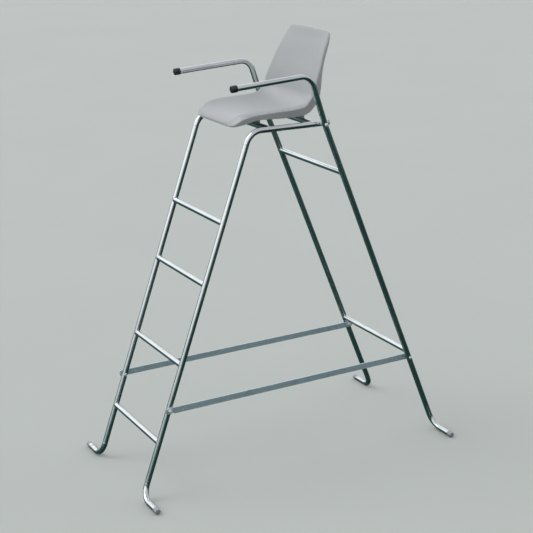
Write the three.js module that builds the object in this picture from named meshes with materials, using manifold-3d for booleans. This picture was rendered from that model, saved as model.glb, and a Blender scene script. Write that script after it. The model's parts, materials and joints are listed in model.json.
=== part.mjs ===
// Folding umpire's high chair: a tubular-steel ladder frame with a moulded
// shell seat, and a rear frame with arms that folds about two pivot bolts.
// Millimetres, +Z up, the sitter faces -Y, +X is the sitter's left.
// Origin: bottom centre, on the floor between the four feet.
import * as THREE from 'three';
import { mergeVertices } from 'three/addons/utils/BufferGeometryUtils.js';
import Module from 'manifold-3d';

const wasm = await Module();
wasm.setup();

// ---- driving dimensions -------------------------------------------------
const TUBE_R = 12.5;            // all frame tube is 25 mm outside diameter
const TUBE_WALL = 2;
const TUBE_SIDES = 16;          // flats across the tube equal its diameter
const GAP = 0.3;                // clearance kept between neighbouring pieces

const FRONT_X = 236.4;          // ladder stile centre, each side
const REAR_X = 268.4;           // rear leg centre, each side
const FRONT_FOOT_Y = -758.4;
const REAR_FOOT_Y = 758.4;
const FOOT_COLLAR = 25;         // visible length of the grey caps on the feet
const FRONT_FOOT_END = FRONT_X + 128;   // end of the steel; the cap goes on beyond it
const REAR_FOOT_END = REAR_X + 129;
const RAIL_CORNER = [-196.3, 1556.4];   // y, z where stile and seat rail meet
const PIVOT = [150, 1552.2];            // y, z of the pivot bolts
const RAIL_END_Y = 184;
const ARM_CORNER = [78.4, 1768];
const ARM_END = [-294, 1746.8];
const FOOT_BEND_R = 60;
const TOP_BEND_R = 74;
const ARM_BEND_R = 62;

const RUNG_Z = [1178, 921, 582.5, 250];
const CROSSBAR_Z = [1330.5, 427];
const SEAT_TUBE_Y = [-104, 116];
const BOSS_X = 132;

const BRACE_A = [-622, 393];    // y, z of the ladder-side brace bolts
const BRACE_B = [609.4, 390];   // y, z of the rear-side brace bolts
const BRACE_H = 28;
const BRACE_T = 5;
const BRACE_X0 = 249.7;         // inner face of the bar
const BRACE_OVERHANG = 17;
const HOOK_ANGLE = 48.7;         // slope of the open notch below horizontal, deg
const RIVET_IN = 60;
const RIVET_DROP = 5;

// ---- helpers ------------------------------------------------------------
const V = (x, y, z) => new THREE.Vector3(x, y, z);

function clean(geo) {
  const g = geo.clone();
  for (const k of Object.keys(g.attributes)) if (k !== 'position') g.deleteAttribute(k);
  return mergeVertices(g, 1e-4);
}
function signedVolume(g) {
  const p = g.attributes.position, ix = g.index.array;
  let v = 0;
  const a = V(), b = V(), c = V();
  for (let i = 0; i < ix.length; i += 3) {
    a.fromBufferAttribute(p, ix[i]); b.fromBufferAttribute(p, ix[i + 1]); c.fromBufferAttribute(p, ix[i + 2]);
    v += a.dot(b.cross(c));
  }
  return v / 6;
}
function flip(g) {
  const ix = g.index.array;
  for (let i = 0; i < ix.length; i += 3) { const t = ix[i]; ix[i] = ix[i + 1]; ix[i + 1] = t; }
  return g;
}
function outward(geo) {
  const g = clean(geo);
  return signedVolume(g) < 0 ? flip(g) : g;
}
function toM(geo) {
  const g = outward(geo);
  return new wasm.Manifold(new wasm.Mesh({
    numProp: 3,
    vertProperties: new Float32Array(g.attributes.position.array),
    triVerts: new Uint32Array(g.index.array),
  }));
}
function fromM(m) {
  const mesh = m.getMesh();
  const n = mesh.vertProperties.length / mesh.numProp;
  const pos = new Float32Array(n * 3);
  for (let i = 0; i < n; i++) for (let k = 0; k < 3; k++) pos[3 * i + k] = mesh.vertProperties[i * mesh.numProp + k];
  const g = new THREE.BufferGeometry();
  g.setAttribute('position', new THREE.BufferAttribute(pos, 3));
  g.setIndex(new THREE.BufferAttribute(new Uint32Array(mesh.triVerts), 1));
  return g;
}
function cut(geo, ...tools) {
  let m = toM(geo);
  for (const t of tools) m = m.subtract(toM(t));
  return fromM(m);
}
function join(geo, ...others) {
  let m = toM(geo);
  for (const t of others) m = m.add(toM(t));
  return fromM(m);
}
function mirrorX(geo) {
  const g = outward(geo);
  g.scale(-1, 1, 1);
  return flip(g);
}
// a polygon whose flats lie at radius r, with a flat centred on angle a0
function ringPoints(r, sides, a0 = 0) {
  const R = r / Math.cos(Math.PI / sides), out = [];
  for (let k = 0; k < sides; k++) {
    const a = a0 + (k + 0.5) * 2 * Math.PI / sides;
    out.push(new THREE.Vector2(R * Math.cos(a), R * Math.sin(a)));
  }
  return out;
}
// round bar between two points
function rod(a, b, r, sides = 16) {
  const d = b.clone().sub(a), L = d.length();
  const g = new THREE.ExtrudeGeometry(new THREE.Shape(ringPoints(r, sides)), { depth: L, bevelEnabled: false });
  const q = new THREE.Quaternion().setFromUnitVectors(V(0, 0, 1), d.normalize());
  g.applyQuaternion(q);
  g.translate(a.x, a.y, a.z);
  return g;
}
// stepped round piece turned about X; profile is [x, radius] pairs, closed on the axis
function turnedX(profile, x0, y, z, sides = 20, dir = 1) {
  const pts = profile.map(([h, r]) => new THREE.Vector2(r, h));
  const g = new THREE.LatheGeometry(pts, sides);
  g.rotateZ(dir > 0 ? -Math.PI / 2 : Math.PI / 2);
  g.translate(x0, y, z);
  return outward(g);
}
function hexX(x0, x1, y, z, af) {
  const R = af / 2 / Math.cos(Math.PI / 6), pts = [];
  for (let k = 0; k < 6; k++) pts.push(new THREE.Vector2(R * Math.cos(k * Math.PI / 3 + Math.PI / 6), R * Math.sin(k * Math.PI / 3 + Math.PI / 6)));
  const g = new THREE.ExtrudeGeometry(new THREE.Shape(pts), { depth: Math.abs(x1 - x0), bevelEnabled: false });
  g.rotateY(Math.PI / 2);
  g.translate(Math.min(x0, x1), y, z);
  return g;
}
function ringX(x0, x1, y, z, ro, ri, sides = 20) {
  const s = new THREE.Shape(ringPoints(ro, sides));
  s.holes.push(new THREE.Path(ringPoints(ri, 16)));
  const g = new THREE.ExtrudeGeometry(s, { depth: Math.abs(x1 - x0), bevelEnabled: false });
  g.rotateY(Math.PI / 2);
  g.translate(Math.min(x0, x1), y, z);
  return g;
}

// a centreline with round bends: points, and one bend radius per inner point
function bentLine(points, radii, stepDeg = 12) {
  const pts = [points[0].clone()], tans = [points[1].clone().sub(points[0]).normalize()];
  for (let i = 1; i < points.length - 1; i++) {
    const p = points[i];
    const d0 = p.clone().sub(points[i - 1]).normalize();
    const d1 = points[i + 1].clone().sub(p).normalize();
    const turn = d0.angleTo(d1), r = radii[i - 1];
    if (r === 0) {                        // a set in the tube, no drawn bend
      pts.push(p.clone()); tans.push(d0.clone().add(d1).normalize());
      continue;
    }
    const axis = d0.clone().cross(d1).normalize();
    const start = p.clone().addScaledVector(d0, -r * Math.tan(turn / 2));
    const centre = start.clone().addScaledVector(axis.clone().cross(d0), r);
    const n = Math.max(2, Math.round(THREE.MathUtils.radToDeg(turn) / stepDeg));
    for (let k = 0; k <= n; k++) {
      const a = turn * k / n;
      pts.push(start.clone().sub(centre).applyAxisAngle(axis, a).add(centre));
      tans.push(d0.clone().applyAxisAngle(axis, a));
    }
  }
  const m = points.length;
  pts.push(points[m - 1].clone());
  tans.push(points[m - 1].clone().sub(points[m - 2]).normalize());
  return { pts, tans };
}
class StationCurve extends THREE.Curve {
  constructor({ pts, tans }) { super(); this.pts = pts; this.tans = tans; }
  at(list, u, target) {
    const n = list.length - 1, s = Math.min(Math.max(u * n, 0), n), i = Math.min(Math.floor(s), n - 1);
    return target.copy(list[i]).lerp(list[i + 1], s - i);
  }
  getPoint(t, target = V()) { return this.at(this.pts, t, target); }
  getPointAt(u, target = V()) { return this.at(this.pts, u, target); }
  getTangentAt(u, target = V()) { return this.at(this.tans, u, target).normalize(); }
}
// hollow tube along a bent centreline; one flat faces straight down at station `level`
function tube(line, level = 0) {
  const curve = new StationCurve(line), steps = line.pts.length - 1;
  const f = curve.computeFrenetFrames(steps, false);
  const down = V(0, 0, -1);
  const a0 = Math.atan2(down.dot(f.binormals[level]), down.dot(f.normals[level]));
  const s = new THREE.Shape(ringPoints(TUBE_R, TUBE_SIDES, a0));
  s.holes.push(new THREE.Path(ringPoints(TUBE_R - TUBE_WALL, TUBE_SIDES, a0)));
  return outward(new THREE.ExtrudeGeometry(s, { steps, extrudePath: curve, bevelEnabled: false }));
}
// straight hollow tube across the chair, ends shaped to sit against the side tubes
function crossTube(halfX, y, z, sideLine) {
  const line = { pts: [V(-halfX, y, z), V(halfX, y, z)], tans: [V(1, 0, 0), V(1, 0, 0)] };
  const raw = tube(line);
  const tools = [];
  for (const s of [-1, 1]) {
    const a = sideLine[0].clone(), b = sideLine[1].clone();
    a.x *= s; b.x *= s;
    tools.push(rod(a, b, TUBE_R + GAP + 0.15, 20));
  }
  return keepLargest(cut(raw, ...tools));
}
function keepLargest(geo) {
  const parts = toM(geo).decompose();
  let best = parts[0];
  for (const p of parts) if (p.volume() > best.volume()) best = p;
  return fromM(best);
}

const group = new THREE.Group();
function add(name, geo, color, metal, rough) {
  const mesh = new THREE.Mesh(outward(geo), new THREE.MeshStandardMaterial({ color, metalness: metal, roughness: rough }));
  mesh.name = name;
  group.add(mesh);
}
const CHROME = [0xc9ccd0, 0.9, 0.25];
const ZINC = [0xa9b0b4, 0.8, 0.45];
const BAR = [0x8b979c, 0.7, 0.5];
const BLACK = [0x17191b, 0.0, 0.6];
const SHELL = [0xaaacaf, 0.0, 0.55];
const GREY = [0x8b929d, 0.0, 0.55];

// ---- ladder frame -------------------------------------------------------
const stileY = z => RAIL_CORNER[0] + (FRONT_FOOT_Y - RAIL_CORNER[0]) * (RAIL_CORNER[1] - z) / (RAIL_CORNER[1] - TUBE_R);
const railZ = y => RAIL_CORNER[1] + (PIVOT[1] - RAIL_CORNER[1]) * (y - RAIL_CORNER[0]) / (PIVOT[0] - RAIL_CORNER[0]);
const frontLine = bentLine([
  V(FRONT_FOOT_END, FRONT_FOOT_Y, TUBE_R),
  V(FRONT_X, FRONT_FOOT_Y, TUBE_R),
  V(FRONT_X, RAIL_CORNER[0], RAIL_CORNER[1]),
  V(FRONT_X, RAIL_END_Y, railZ(RAIL_END_Y)),
], [FOOT_BEND_R, TOP_BEND_R]);
const M10 = 5.2, M8 = 4.18;     // hole radii for the 10 and 8 mm bolts
const through = (y, z, r, x0, x1) => rod(V(x0, y, z), V(x1, y, z), r);

const RAIL_RIVET_Y = 126;
const frontLeg = cut(tube(frontLine),
  through(PIVOT[0], PIVOT[1], M10, 215, 258),
  through(BRACE_A[0], BRACE_A[1], M8, 215, 258),
  through(RAIL_RIVET_Y, railZ(RAIL_RIVET_Y) + 3, 2.7, 237, 258));
add('front_leg_left', frontLeg, ...CHROME);
add('front_leg_right', mirrorX(frontLeg), ...CHROME);

const stileLine = [V(FRONT_X, stileY(60), 60), V(FRONT_X, stileY(1400), 1400)];
RUNG_Z.forEach((z, i) => add(`rung_${i + 1}`, crossTube(FRONT_X, stileY(z), z, stileLine), ...CHROME));

const railLine = [V(FRONT_X, -160, railZ(-160)), V(FRONT_X, 184, railZ(184))];
const seatTubes = SEAT_TUBE_Y.map(y => {
  let g = crossTube(FRONT_X, y, railZ(y), railLine);
  for (const s of [-1, 1]) g = cut(g, rod(V(s * BOSS_X, y, railZ(y) - 20), V(s * BOSS_X, y, railZ(y) + 20), 3.3));
  return g;
});
add('seat_tube_front', seatTubes[0], ...CHROME);
add('seat_tube_rear', seatTubes[1], ...CHROME);

// ---- rear frame ---------------------------------------------------------
const legY = z => PIVOT[0] + (REAR_FOOT_Y - PIVOT[0]) * (PIVOT[1] - z) / (PIVOT[1] - TUBE_R);
const rearLine = bentLine([
  V(REAR_FOOT_END, REAR_FOOT_Y, TUBE_R),
  V(REAR_X, REAR_FOOT_Y, TUBE_R),
  V(REAR_X, PIVOT[0], PIVOT[1]),
  V(REAR_X, ARM_CORNER[0], ARM_CORNER[1]),
  V(REAR_X, ARM_END[0], ARM_END[1]),
], [FOOT_BEND_R, 0, ARM_BEND_R]);
const rearLeg = cut(tube(rearLine),
  through(PIVOT[0], PIVOT[1], M10, 250, 290),
  through(BRACE_B[0], BRACE_B[1], M8, 250, 290));
add('rear_leg_left', rearLeg, ...CHROME);
add('rear_leg_right', mirrorX(rearLeg), ...CHROME);
const rearSide = [V(REAR_X, legY(60), 60), V(REAR_X, legY(1500), 1500)];
['rear_crossbar_upper', 'rear_crossbar_lower'].forEach((n, i) =>
  add(n, crossTube(REAR_X, legY(CROSSBAR_Z[i]), CROSSBAR_Z[i], rearSide), ...CHROME));

// ---- end caps and plugs -------------------------------------------------
// plug: collar outside the tube end, stem inside the bore
function plug(collar = 2.4) {
  const ro = TUBE_R - 0.2, ri = TUBE_R - TUBE_WALL - GAP;
  const g = new THREE.LatheGeometry([[0, -14], [ri - 0.8, -14], [ri, -12.5], [ri, GAP], [ro, GAP], [ro, collar - 0.9], [ro - 0.9, collar + 0.5], [ro - 2.6, collar + 1.1], [0, collar + 1.2]]
    .map(([r, h]) => new THREE.Vector2(r, h)), 16);
  return g;
}
function placeAlong(g, at, dir) {
  const h = g.clone();
  h.applyQuaternion(new THREE.Quaternion().setFromUnitVectors(V(0, 1, 0), dir.clone().normalize()));
  h.translate(at.x, at.y, at.z);
  return outward(h);
}
const footPlugF = placeAlong(plug(FOOT_COLLAR), V(FRONT_FOOT_END, FRONT_FOOT_Y, TUBE_R), V(1, 0, 0));
const footPlugR = placeAlong(plug(FOOT_COLLAR), V(REAR_FOOT_END, REAR_FOOT_Y, TUBE_R), V(1, 0, 0));
const railDir = V(0, PIVOT[0] - RAIL_CORNER[0], PIVOT[1] - RAIL_CORNER[1]).normalize();
const railPlug = placeAlong(plug(), V(FRONT_X, RAIL_END_Y, railZ(RAIL_END_Y)), railDir);
add('front_foot_cap_left', footPlugF, ...GREY);
add('front_foot_cap_right', mirrorX(footPlugF), ...GREY);
add('rear_foot_cap_left', footPlugR, ...GREY);
add('rear_foot_cap_right', mirrorX(footPlugR), ...GREY);
add('rail_plug_left', railPlug, ...BLACK);
add('rail_plug_right', mirrorX(railPlug), ...BLACK);

const armDir = V(0, ARM_END[0] - ARM_CORNER[0], ARM_END[1] - ARM_CORNER[1]).normalize();
const capBore = TUBE_R / Math.cos(Math.PI / TUBE_SIDES) + GAP;
const armCap = placeAlong(new THREE.LatheGeometry(
  [[0, GAP], [capBore, GAP], [capBore, -22], [capBore + 1.6, -22], [capBore + 2, -21], [capBore + 2, 1.2], [capBore + 0.6, 3.4], [0, 4]]
    .map(([r, h]) => new THREE.Vector2(r, h)), 20), V(REAR_X, ARM_END[0], ARM_END[1]), armDir);
add('arm_cap_left', armCap, ...BLACK);
add('arm_cap_right', mirrorX(armCap), ...BLACK);

// ---- pivot hardware -----------------------------------------------------
const [py, pz] = PIVOT;
const REAR_OUT = REAR_X + TUBE_R, REAR_IN = REAR_X - TUBE_R, FRONT_OUT = FRONT_X + TUBE_R, FRONT_IN = FRONT_X - TUBE_R;
const pivotBolt = join(hexX(REAR_OUT + GAP, REAR_OUT + GAP + 6.4, py, pz, 17), rod(V(REAR_OUT + 2, py, pz), V(FRONT_IN - 11, py, pz), 5));
const pivotSpacer = ringX(FRONT_OUT + GAP, REAR_IN - GAP, py, pz, 10.5, M10);
const pivotNut = cut(hexX(FRONT_IN - GAP - 8, FRONT_IN - GAP, py, pz, 17), rod(V(200, py, pz), V(230, py, pz), 5.3));
for (const [n, g] of [['pivot_bolt', pivotBolt], ['pivot_spacer', pivotSpacer], ['pivot_nut', pivotNut]]) {
  add(`${n}_left`, g, ...ZINC);
  add(`${n}_right`, mirrorX(g), ...ZINC);
}
const rrz = railZ(RAIL_RIVET_Y) + 3;
const railRivet = turnedX([[-6, 0], [-6, 2.4], [0, 2.4], [0.2, 2.4], [0.2, 4.6], [1.4, 4.2], [2.6, 2.6], [3, 0]], FRONT_OUT + 0.1, RAIL_RIVET_Y, rrz, 12);
add('rail_rivet_left', railRivet, ...ZINC);
add('rail_rivet_right', mirrorX(railRivet), ...ZINC);

// ---- side braces --------------------------------------------------------
function braceBar() {
  const [ay, az] = BRACE_A, [by, bz] = BRACE_B;
  const L = Math.hypot(by - ay, bz - az), h = BRACE_H / 2, r = 7, e = BRACE_OVERHANG;
  const s = new THREE.Shape();
  // local axes: u from bolt A towards bolt B, w up; extruded through the thickness
  const a = THREE.MathUtils.degToRad(HOOK_ANGLE), c = Math.cos(a), n = Math.sin(a), q = 4.8;
  s.moveTo(L + e - r, -h);
  s.absarc(L + e - r, -h + r, r, -Math.PI / 2, 0, false);
  s.absarc(L + e - r, h - r, r, 0, Math.PI / 2, false);
  s.absarc(-e + r, h - r, r, Math.PI / 2, Math.PI, false);
  s.absarc(-e + r, -h + r, r, Math.PI, 1.5 * Math.PI, false);
  // open notch that drops over the ladder-side bolt
  const t1 = (h + q * c * -1) / n, t2 = (h + q * c) / n;
  s.lineTo(-q * n + t1 * c, -h);
  s.absarc(0, 0, q, -a - Math.PI / 2, -a + Math.PI / 2, true);
  s.lineTo(q * n + t2 * c, -h);
  const hole = (u, w, rr) => s.holes.push(new THREE.Path(ringPoints(rr, 12).map(p => p.add(new THREE.Vector2(u, w)))));
  hole(L, 0, 4.4);
  hole(RIVET_IN, -RIVET_DROP, 2.7);
  hole(L - RIVET_IN, -RIVET_DROP, 2.7);
  const g = new THREE.ExtrudeGeometry(s, { depth: BRACE_T, bevelEnabled: false, curveSegments: 8 });
  // (u, w, depth) -> (y, z, x)
  const m = new THREE.Matrix4().set(0, 0, 1, 0, 1, 0, 0, 0, 0, 1, 0, 0, 0, 0, 0, 1);
  g.applyMatrix4(m);
  g.rotateX(Math.atan2(bz - az, by - ay));
  g.translate(BRACE_X0, ay, az);
  return outward(g);
}
const brace = braceBar();
add('brace_left', brace, ...BAR);
add('brace_right', mirrorX(brace), ...BAR);

const BX0 = BRACE_X0, BX1 = BRACE_X0 + BRACE_T;
const onBar = u => {
  const [ay, az] = BRACE_A, [by, bz] = BRACE_B, L = Math.hypot(by - ay, bz - az);
  const cy = (by - ay) / L, cz = (bz - az) / L;
  return [ay + cy * u + cz * RIVET_DROP, az + cz * u - cy * RIVET_DROP];
};
const barLen = Math.hypot(BRACE_B[0] - BRACE_A[0], BRACE_B[1] - BRACE_A[1]);
[['front', RIVET_IN], ['rear', barLen - RIVET_IN]].forEach(([n, u]) => {
  const [y, z] = onBar(u);
  const w = BRACE_T + 0.4;
  const g = turnedX([[-1.9, 0], [-1.7, 2.2], [-1.0, 3.8], [-0.2, 4.2], [-0.2, 2.4], [w - 0.2, 2.4], [w - 0.2, 4.2], [w + 0.6, 3.8], [w + 1.4, 2.2], [w + 1.6, 0]],
    BX0, y, z, 10);
  add(`brace_rivet_${n}_left`, g, ...ZINC);
  add(`brace_rivet_${n}_right`, mirrorX(g), ...ZINC);
});

// ladder-side bolt: head inside the stile, washer and nut outside the bar
const [ay, az] = BRACE_A;
const boltA = join(hexX(FRONT_IN - GAP - 5.4, FRONT_IN - GAP, ay, az, 13), rod(V(FRONT_IN - 3, ay, az), V(BX1 + 11.2, ay, az), 4));
const washerA = ringX(BX1 + GAP, BX1 + GAP + 1.6, ay, az, 12, 4.3);
const nutA = cut(hexX(BX1 + 2.2, BX1 + 8.7, ay, az, 13), rod(V(BX1, ay, az), V(BX1 + 15, ay, az), 4.3));
// rear-side bolt: head outside the leg, washer and nut inside the bar
const [by, bz] = BRACE_B;
const boltB = join(hexX(REAR_OUT + GAP, REAR_OUT + GAP + 5.4, by, bz, 13), rod(V(REAR_OUT + 2, by, bz), V(BX0 - 10.4, by, bz), 4));
const washerB = ringX(BX0 - GAP - 1.6, BX0 - GAP, by, bz, 12, 4.3);
const nutB = cut(hexX(BX0 - 8.7, BX0 - 2.2, by, bz, 13), rod(V(BX0 - 15, by, bz), V(BX0, by, bz), 4.3));
for (const [n, g] of [['brace_bolt_front', boltA], ['brace_washer_front', washerA], ['brace_nut_front', nutA],
  ['brace_bolt_rear', boltB], ['brace_washer_rear', washerB], ['brace_nut_rear', nutB]]) {
  add(`${n}_left`, g, ...ZINC);
  add(`${n}_right`, mirrorX(g), ...ZINC);
}

// ---- moulded shell seat -------------------------------------------------
// stations from the front lip to the top of the back, on the sitter's side:
// [y, z, half width, rise of the edge above the middle, depth of the side return]
const SHELL_T = 5;
const EDGE_R = 9;
const STATIONS = [
  [-249, 1565, 122, 2, 11],
  [-249, 1577, 140, 3, 17],
  [-243, 1589, 160, 5, 28],
  [-226, 1599, 184, 9, 38],
  [-195, 1602.5, 201, 14, 41],
  [-140, 1601, 209, 21, 38],
  [-70, 1599, 213, 26, 41],
  [0, 1597, 215, 30, 43],
  [50, 1598, 216, 31, 46],
  [95, 1605, 217, 33, 50],
  [128, 1622, 217, 38, 52],
  [150, 1652, 216, 36, 48],
  [158, 1690, 214, 30, 42],
  [168, 1730, 209, 24, 30],
  [181, 1773, 202, 20, 22],
  [195, 1815, 192.5, 17, 20],
  [209, 1855, 183, 13, 19],
  [224, 1890, 174, 10, 14],
  [231.5, 1910, 165, 7, 11],
  [237, 1922, 151, 5, 10],
  [240, 1928.5, 124, 4, 10],
];
function station(v) {
  const n = STATIONS.length - 1, s = Math.min(Math.max(v, 0), 1) * n, i = Math.min(Math.floor(s), n - 1), t = s - i;
  const g = k => STATIONS[Math.min(Math.max(k, 0), n)];
  return STATIONS[0].map((_, c) => {
    const p0 = g(i - 1)[c], p1 = g(i)[c], p2 = g(i + 1)[c], p3 = g(i + 2)[c];
    return 0.5 * (2 * p1 + (p2 - p0) * t + (2 * p0 - 5 * p1 + 4 * p2 - p3) * t * t + (3 * p1 - p0 - 3 * p2 + p3) * t * t * t);
  });
}
// point on the sitter's side; u in -1..1 across, v in 0..1 along
function shellPoint(u, v) {
  const [cy, cz, W, rise, depth] = station(v);
  const e = 1e-3, a = station(Math.max(v - e, 0)), b = station(Math.min(v + e, 1));
  const tl = Math.hypot(b[0] - a[0], b[1] - a[1]) || 1;
  const ty = (b[0] - a[0]) / tl, tz = (b[1] - a[1]) / tl, ny = -tz, nz = ty;
  const s = Math.sign(u), q = Math.abs(u), flat = W - EDGE_R;
  const U1 = 0.8, U2 = 0.9;
  let x, h, drop = 0;
  if (q <= U1) { const k = q / U1; x = flat * k; h = rise * Math.pow(k, 2.6); }
  else if (q <= U2) {
    // the face arrives at a slope; roll it over into the side return
    const k = (q - U1) / (U2 - U1), slope = Math.atan(2.6 * rise / flat);
    const f0 = slope, f1 = -Math.PI / 2, f = f0 + (f1 - f0) * k;
    x = flat + EDGE_R * (Math.sin(f0) - Math.sin(f)) / (1 + Math.sin(f0));
    h = rise + EDGE_R * (Math.cos(f) - Math.cos(f0)) / (1 + Math.sin(f0));
  } else {
    const k = (q - U2) / (1 - U2), slope = Math.atan(2.6 * rise / flat);
    x = W;
    h = rise - EDGE_R * Math.cos(slope) / (1 + Math.sin(slope));
    drop = Math.max(depth - EDGE_R, 0.5) * k;
  }
  // the return hangs straight down round the front corners, and square to the face behind them
  const m = THREE.MathUtils.smoothstep(v * (STATIONS.length - 1), 2.5, 5);
  const fy = -m * ny, fz = -(1 - m) - m * nz, fl = Math.hypot(fy, fz);
  return V(s * x, cy + ny * h + fy / fl * drop, cz + nz * h + fz / fl * drop);
}
function shellNormal(u, v) {
  const e = 2e-3;
  const a = shellPoint(Math.max(u - e, -1), v), b = shellPoint(Math.min(u + e, 1), v);
  const c = shellPoint(u, Math.max(v - e, 0)), d = shellPoint(u, Math.min(v + e, 1));
  return b.sub(a).cross(d.sub(c)).normalize();
}
const NU = 24, NV = 36;
const shellGeo = new THREE.BoxGeometry(1, 1, 1, NU, NV, 1);
{
  const p = shellGeo.attributes.position;
  for (let i = 0; i < p.count; i++) {
    let k = (p.getX(i) + 0.5) * 2 - 1;                       // -1..1 in equal steps
    const q = Math.abs(k);                                   // more of them on the roll and the return
    const u = Math.sign(k) * (q < 0.6 ? q / 0.6 * 0.8 : 0.8 + (q - 0.6) / 0.4 * 0.2);
    const v = p.getY(i) + 0.5;
    const P = shellPoint(u, v), N = shellNormal(u, v);
    if (p.getZ(i) < 0) P.addScaledVector(N, -SHELL_T);
    p.setXYZ(i, P.x, P.y, P.z);
  }
}
function topZ(x, y) {
  let best = 1e9, z = 0;
  for (let i = 0; i <= 400; i++) for (const u of [Math.pow(Math.abs(x) / (213 - EDGE_R), 1) * 0.8]) {
    const P = shellPoint(u, 0.12 + 0.42 * i / 400);
    const d = Math.abs(P.y - y);
    if (d < best) { best = d; z = P.z; }
  }
  return z;
}
// four moulded bosses under the pan, saddled over the seat tubes
let shellM = toM(shellGeo);
for (const y of SEAT_TUBE_Y) for (const s of [-1, 1]) {
  const x = s * BOSS_X, bossR = 11.5, sides = 20, zb = railZ(y) + 5;
  const g = new THREE.CylinderGeometry(bossR, bossR, 1, sides, 1);
  g.rotateX(Math.PI / 2);
  const p = g.attributes.position;
  for (let i = 0; i < p.count; i++) {
    const gx = x + p.getX(i), gy = y + p.getY(i);
    p.setXYZ(i, gx, gy, p.getZ(i) > 0 ? topZ(gx, gy) - SHELL_T * 0.6 : zb);
  }
  shellM = shellM.add(toM(g));
}
for (const y of SEAT_TUBE_Y) {
  shellM = shellM.subtract(toM(rod(V(-230, y, railZ(y)), V(230, y, railZ(y)), TUBE_R + GAP, 24)));
  for (const s of [-1, 1]) shellM = shellM.subtract(toM(rod(V(s * BOSS_X, y, railZ(y)), V(s * BOSS_X, y, railZ(y) + 34), 3.2, 12)));
}
add('seat_shell', fromM(shellM), ...SHELL);

SEAT_TUBE_Y.forEach((y, i) => {
  const z = railZ(y);
  for (const [s, side] of [[1, 'left'], [-1, 'right']]) {
    const x = s * BOSS_X;
    const g = new THREE.LatheGeometry([[0, -5.2], [3.6, -5.0], [5.4, -3.6], [6, -1.2], [6, 0], [2.9, 0], [2.9, 44], [0, 44]]
      .map(([r, h]) => new THREE.Vector2(r, h)), 16);
    g.rotateX(Math.PI / 2);
    g.translate(x, y, z - TUBE_R - GAP - 0.2);
    add(`seat_screw_${i ? 'rear' : 'front'}_${side}`, outward(g), ...ZINC);
  }
});

export default group;
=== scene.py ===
import json
import math

import bpy
import numpy as np
from mathutils import Matrix, Vector
from mathutils.geometry import tessellate_polygon


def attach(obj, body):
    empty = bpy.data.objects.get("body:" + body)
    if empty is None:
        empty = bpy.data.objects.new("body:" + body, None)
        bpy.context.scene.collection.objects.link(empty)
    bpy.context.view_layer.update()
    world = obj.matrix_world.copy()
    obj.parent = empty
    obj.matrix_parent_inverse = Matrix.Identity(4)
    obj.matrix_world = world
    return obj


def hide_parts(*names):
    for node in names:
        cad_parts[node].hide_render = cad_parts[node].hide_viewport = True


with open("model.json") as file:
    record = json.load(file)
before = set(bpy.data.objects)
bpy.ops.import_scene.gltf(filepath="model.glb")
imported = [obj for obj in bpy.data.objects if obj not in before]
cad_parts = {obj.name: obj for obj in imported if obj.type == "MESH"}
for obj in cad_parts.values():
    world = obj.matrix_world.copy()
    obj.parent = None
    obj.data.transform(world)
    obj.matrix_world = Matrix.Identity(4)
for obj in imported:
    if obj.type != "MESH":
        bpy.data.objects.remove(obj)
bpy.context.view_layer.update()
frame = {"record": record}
BODY_OF = {n: b for b, ns in frame["record"]["behaviour"]["bodies"].items() for n in ns}
MM = 0.001

# ---- driving dimensions, the same as the CAD's, in millimetres --------------
R, WALL, GAP = 12.5, 2.0, 0.3
FRONT_X, REAR_X = 236.4, 268.4
FOOT_Y = 758.4
FRONT_FOOT_END, REAR_FOOT_END, COLLAR = FRONT_X + 128, REAR_X + 129, 25.0
CORNER = (-196.3, 1556.4)
PIVOT = (150.0, 1552.2)
RAIL_END_Y = 184.0
ARM_CORNER, ARM_END = (78.4, 1768.0), (-294.0, 1746.8)
FOOT_BEND, TOP_BEND, ARM_BEND = 60.0, 74.0, 62.0
RUNG_Z = (1178.0, 921.0, 582.5, 250.0)
CROSSBAR_Z = (1330.5, 427.0)
SEAT_TUBE_Y = (-104.0, 116.0)
BOSS_X = 132.0
BRACE_A, BRACE_B = (-622.0, 393.0), (609.4, 390.0)
BRACE_H, BRACE_T, BRACE_X0, OVERHANG = 28.0, 5.0, 249.7, 17.0
HOOK_ANGLE = 48.7
RIVET_IN, RIVET_DROP, RAIL_RIVET_Y = 60.0, 5.0, 126.0


def stile_y(z):
    return CORNER[0] + (-FOOT_Y - CORNER[0]) * (CORNER[1] - z) / (CORNER[1] - R)


def rail_z(y):
    return CORNER[1] + (PIVOT[1] - CORNER[1]) * (y - CORNER[0]) / (PIVOT[0] - CORNER[0])


def leg_y(z):
    return PIVOT[0] + (FOOT_Y - PIVOT[0]) * (PIVOT[1] - z) / (PIVOT[1] - R)


# ---- mesh helpers ------------------------------------------------------------
def unit(a):
    a = np.asarray(a, float)
    return a / np.maximum(np.linalg.norm(a, axis=-1, keepdims=True), 1e-12)


class Part:
    """verts in mm, faces, one uv pair per face corner, one wear value per vertex (on the shell it also paints a rim
    highlight), a material index
    """

    def __init__(self, v, f, uv=None, wear=None, mat=0):
        self.v = np.asarray(v, float)
        self.f = [tuple(int(i) for i in t) for t in f]
        self.uv = uv
        self.wear = np.zeros(len(self.v)) if wear is None else np.asarray(wear, float)
        self.mat = mat

    def flipped(self):
        uv = None if self.uv is None else [u[::-1] for u in self.uv]
        return Part(self.v, [t[::-1] for t in self.f], uv, self.wear, self.mat)

    def outward(self):
        vol = 0.0
        for t in self.f:
            a = self.v[t[0]]
            for k in range(1, len(t) - 1):
                vol += np.dot(a, np.cross(self.v[t[k]], self.v[t[k + 1]]))
        return self if vol > 0 else self.flipped()

    def mirrored(self):
        v = self.v * np.array([-1.0, 1.0, 1.0])
        return Part(v, self.f, self.uv, self.wear, self.mat).flipped()


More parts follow.
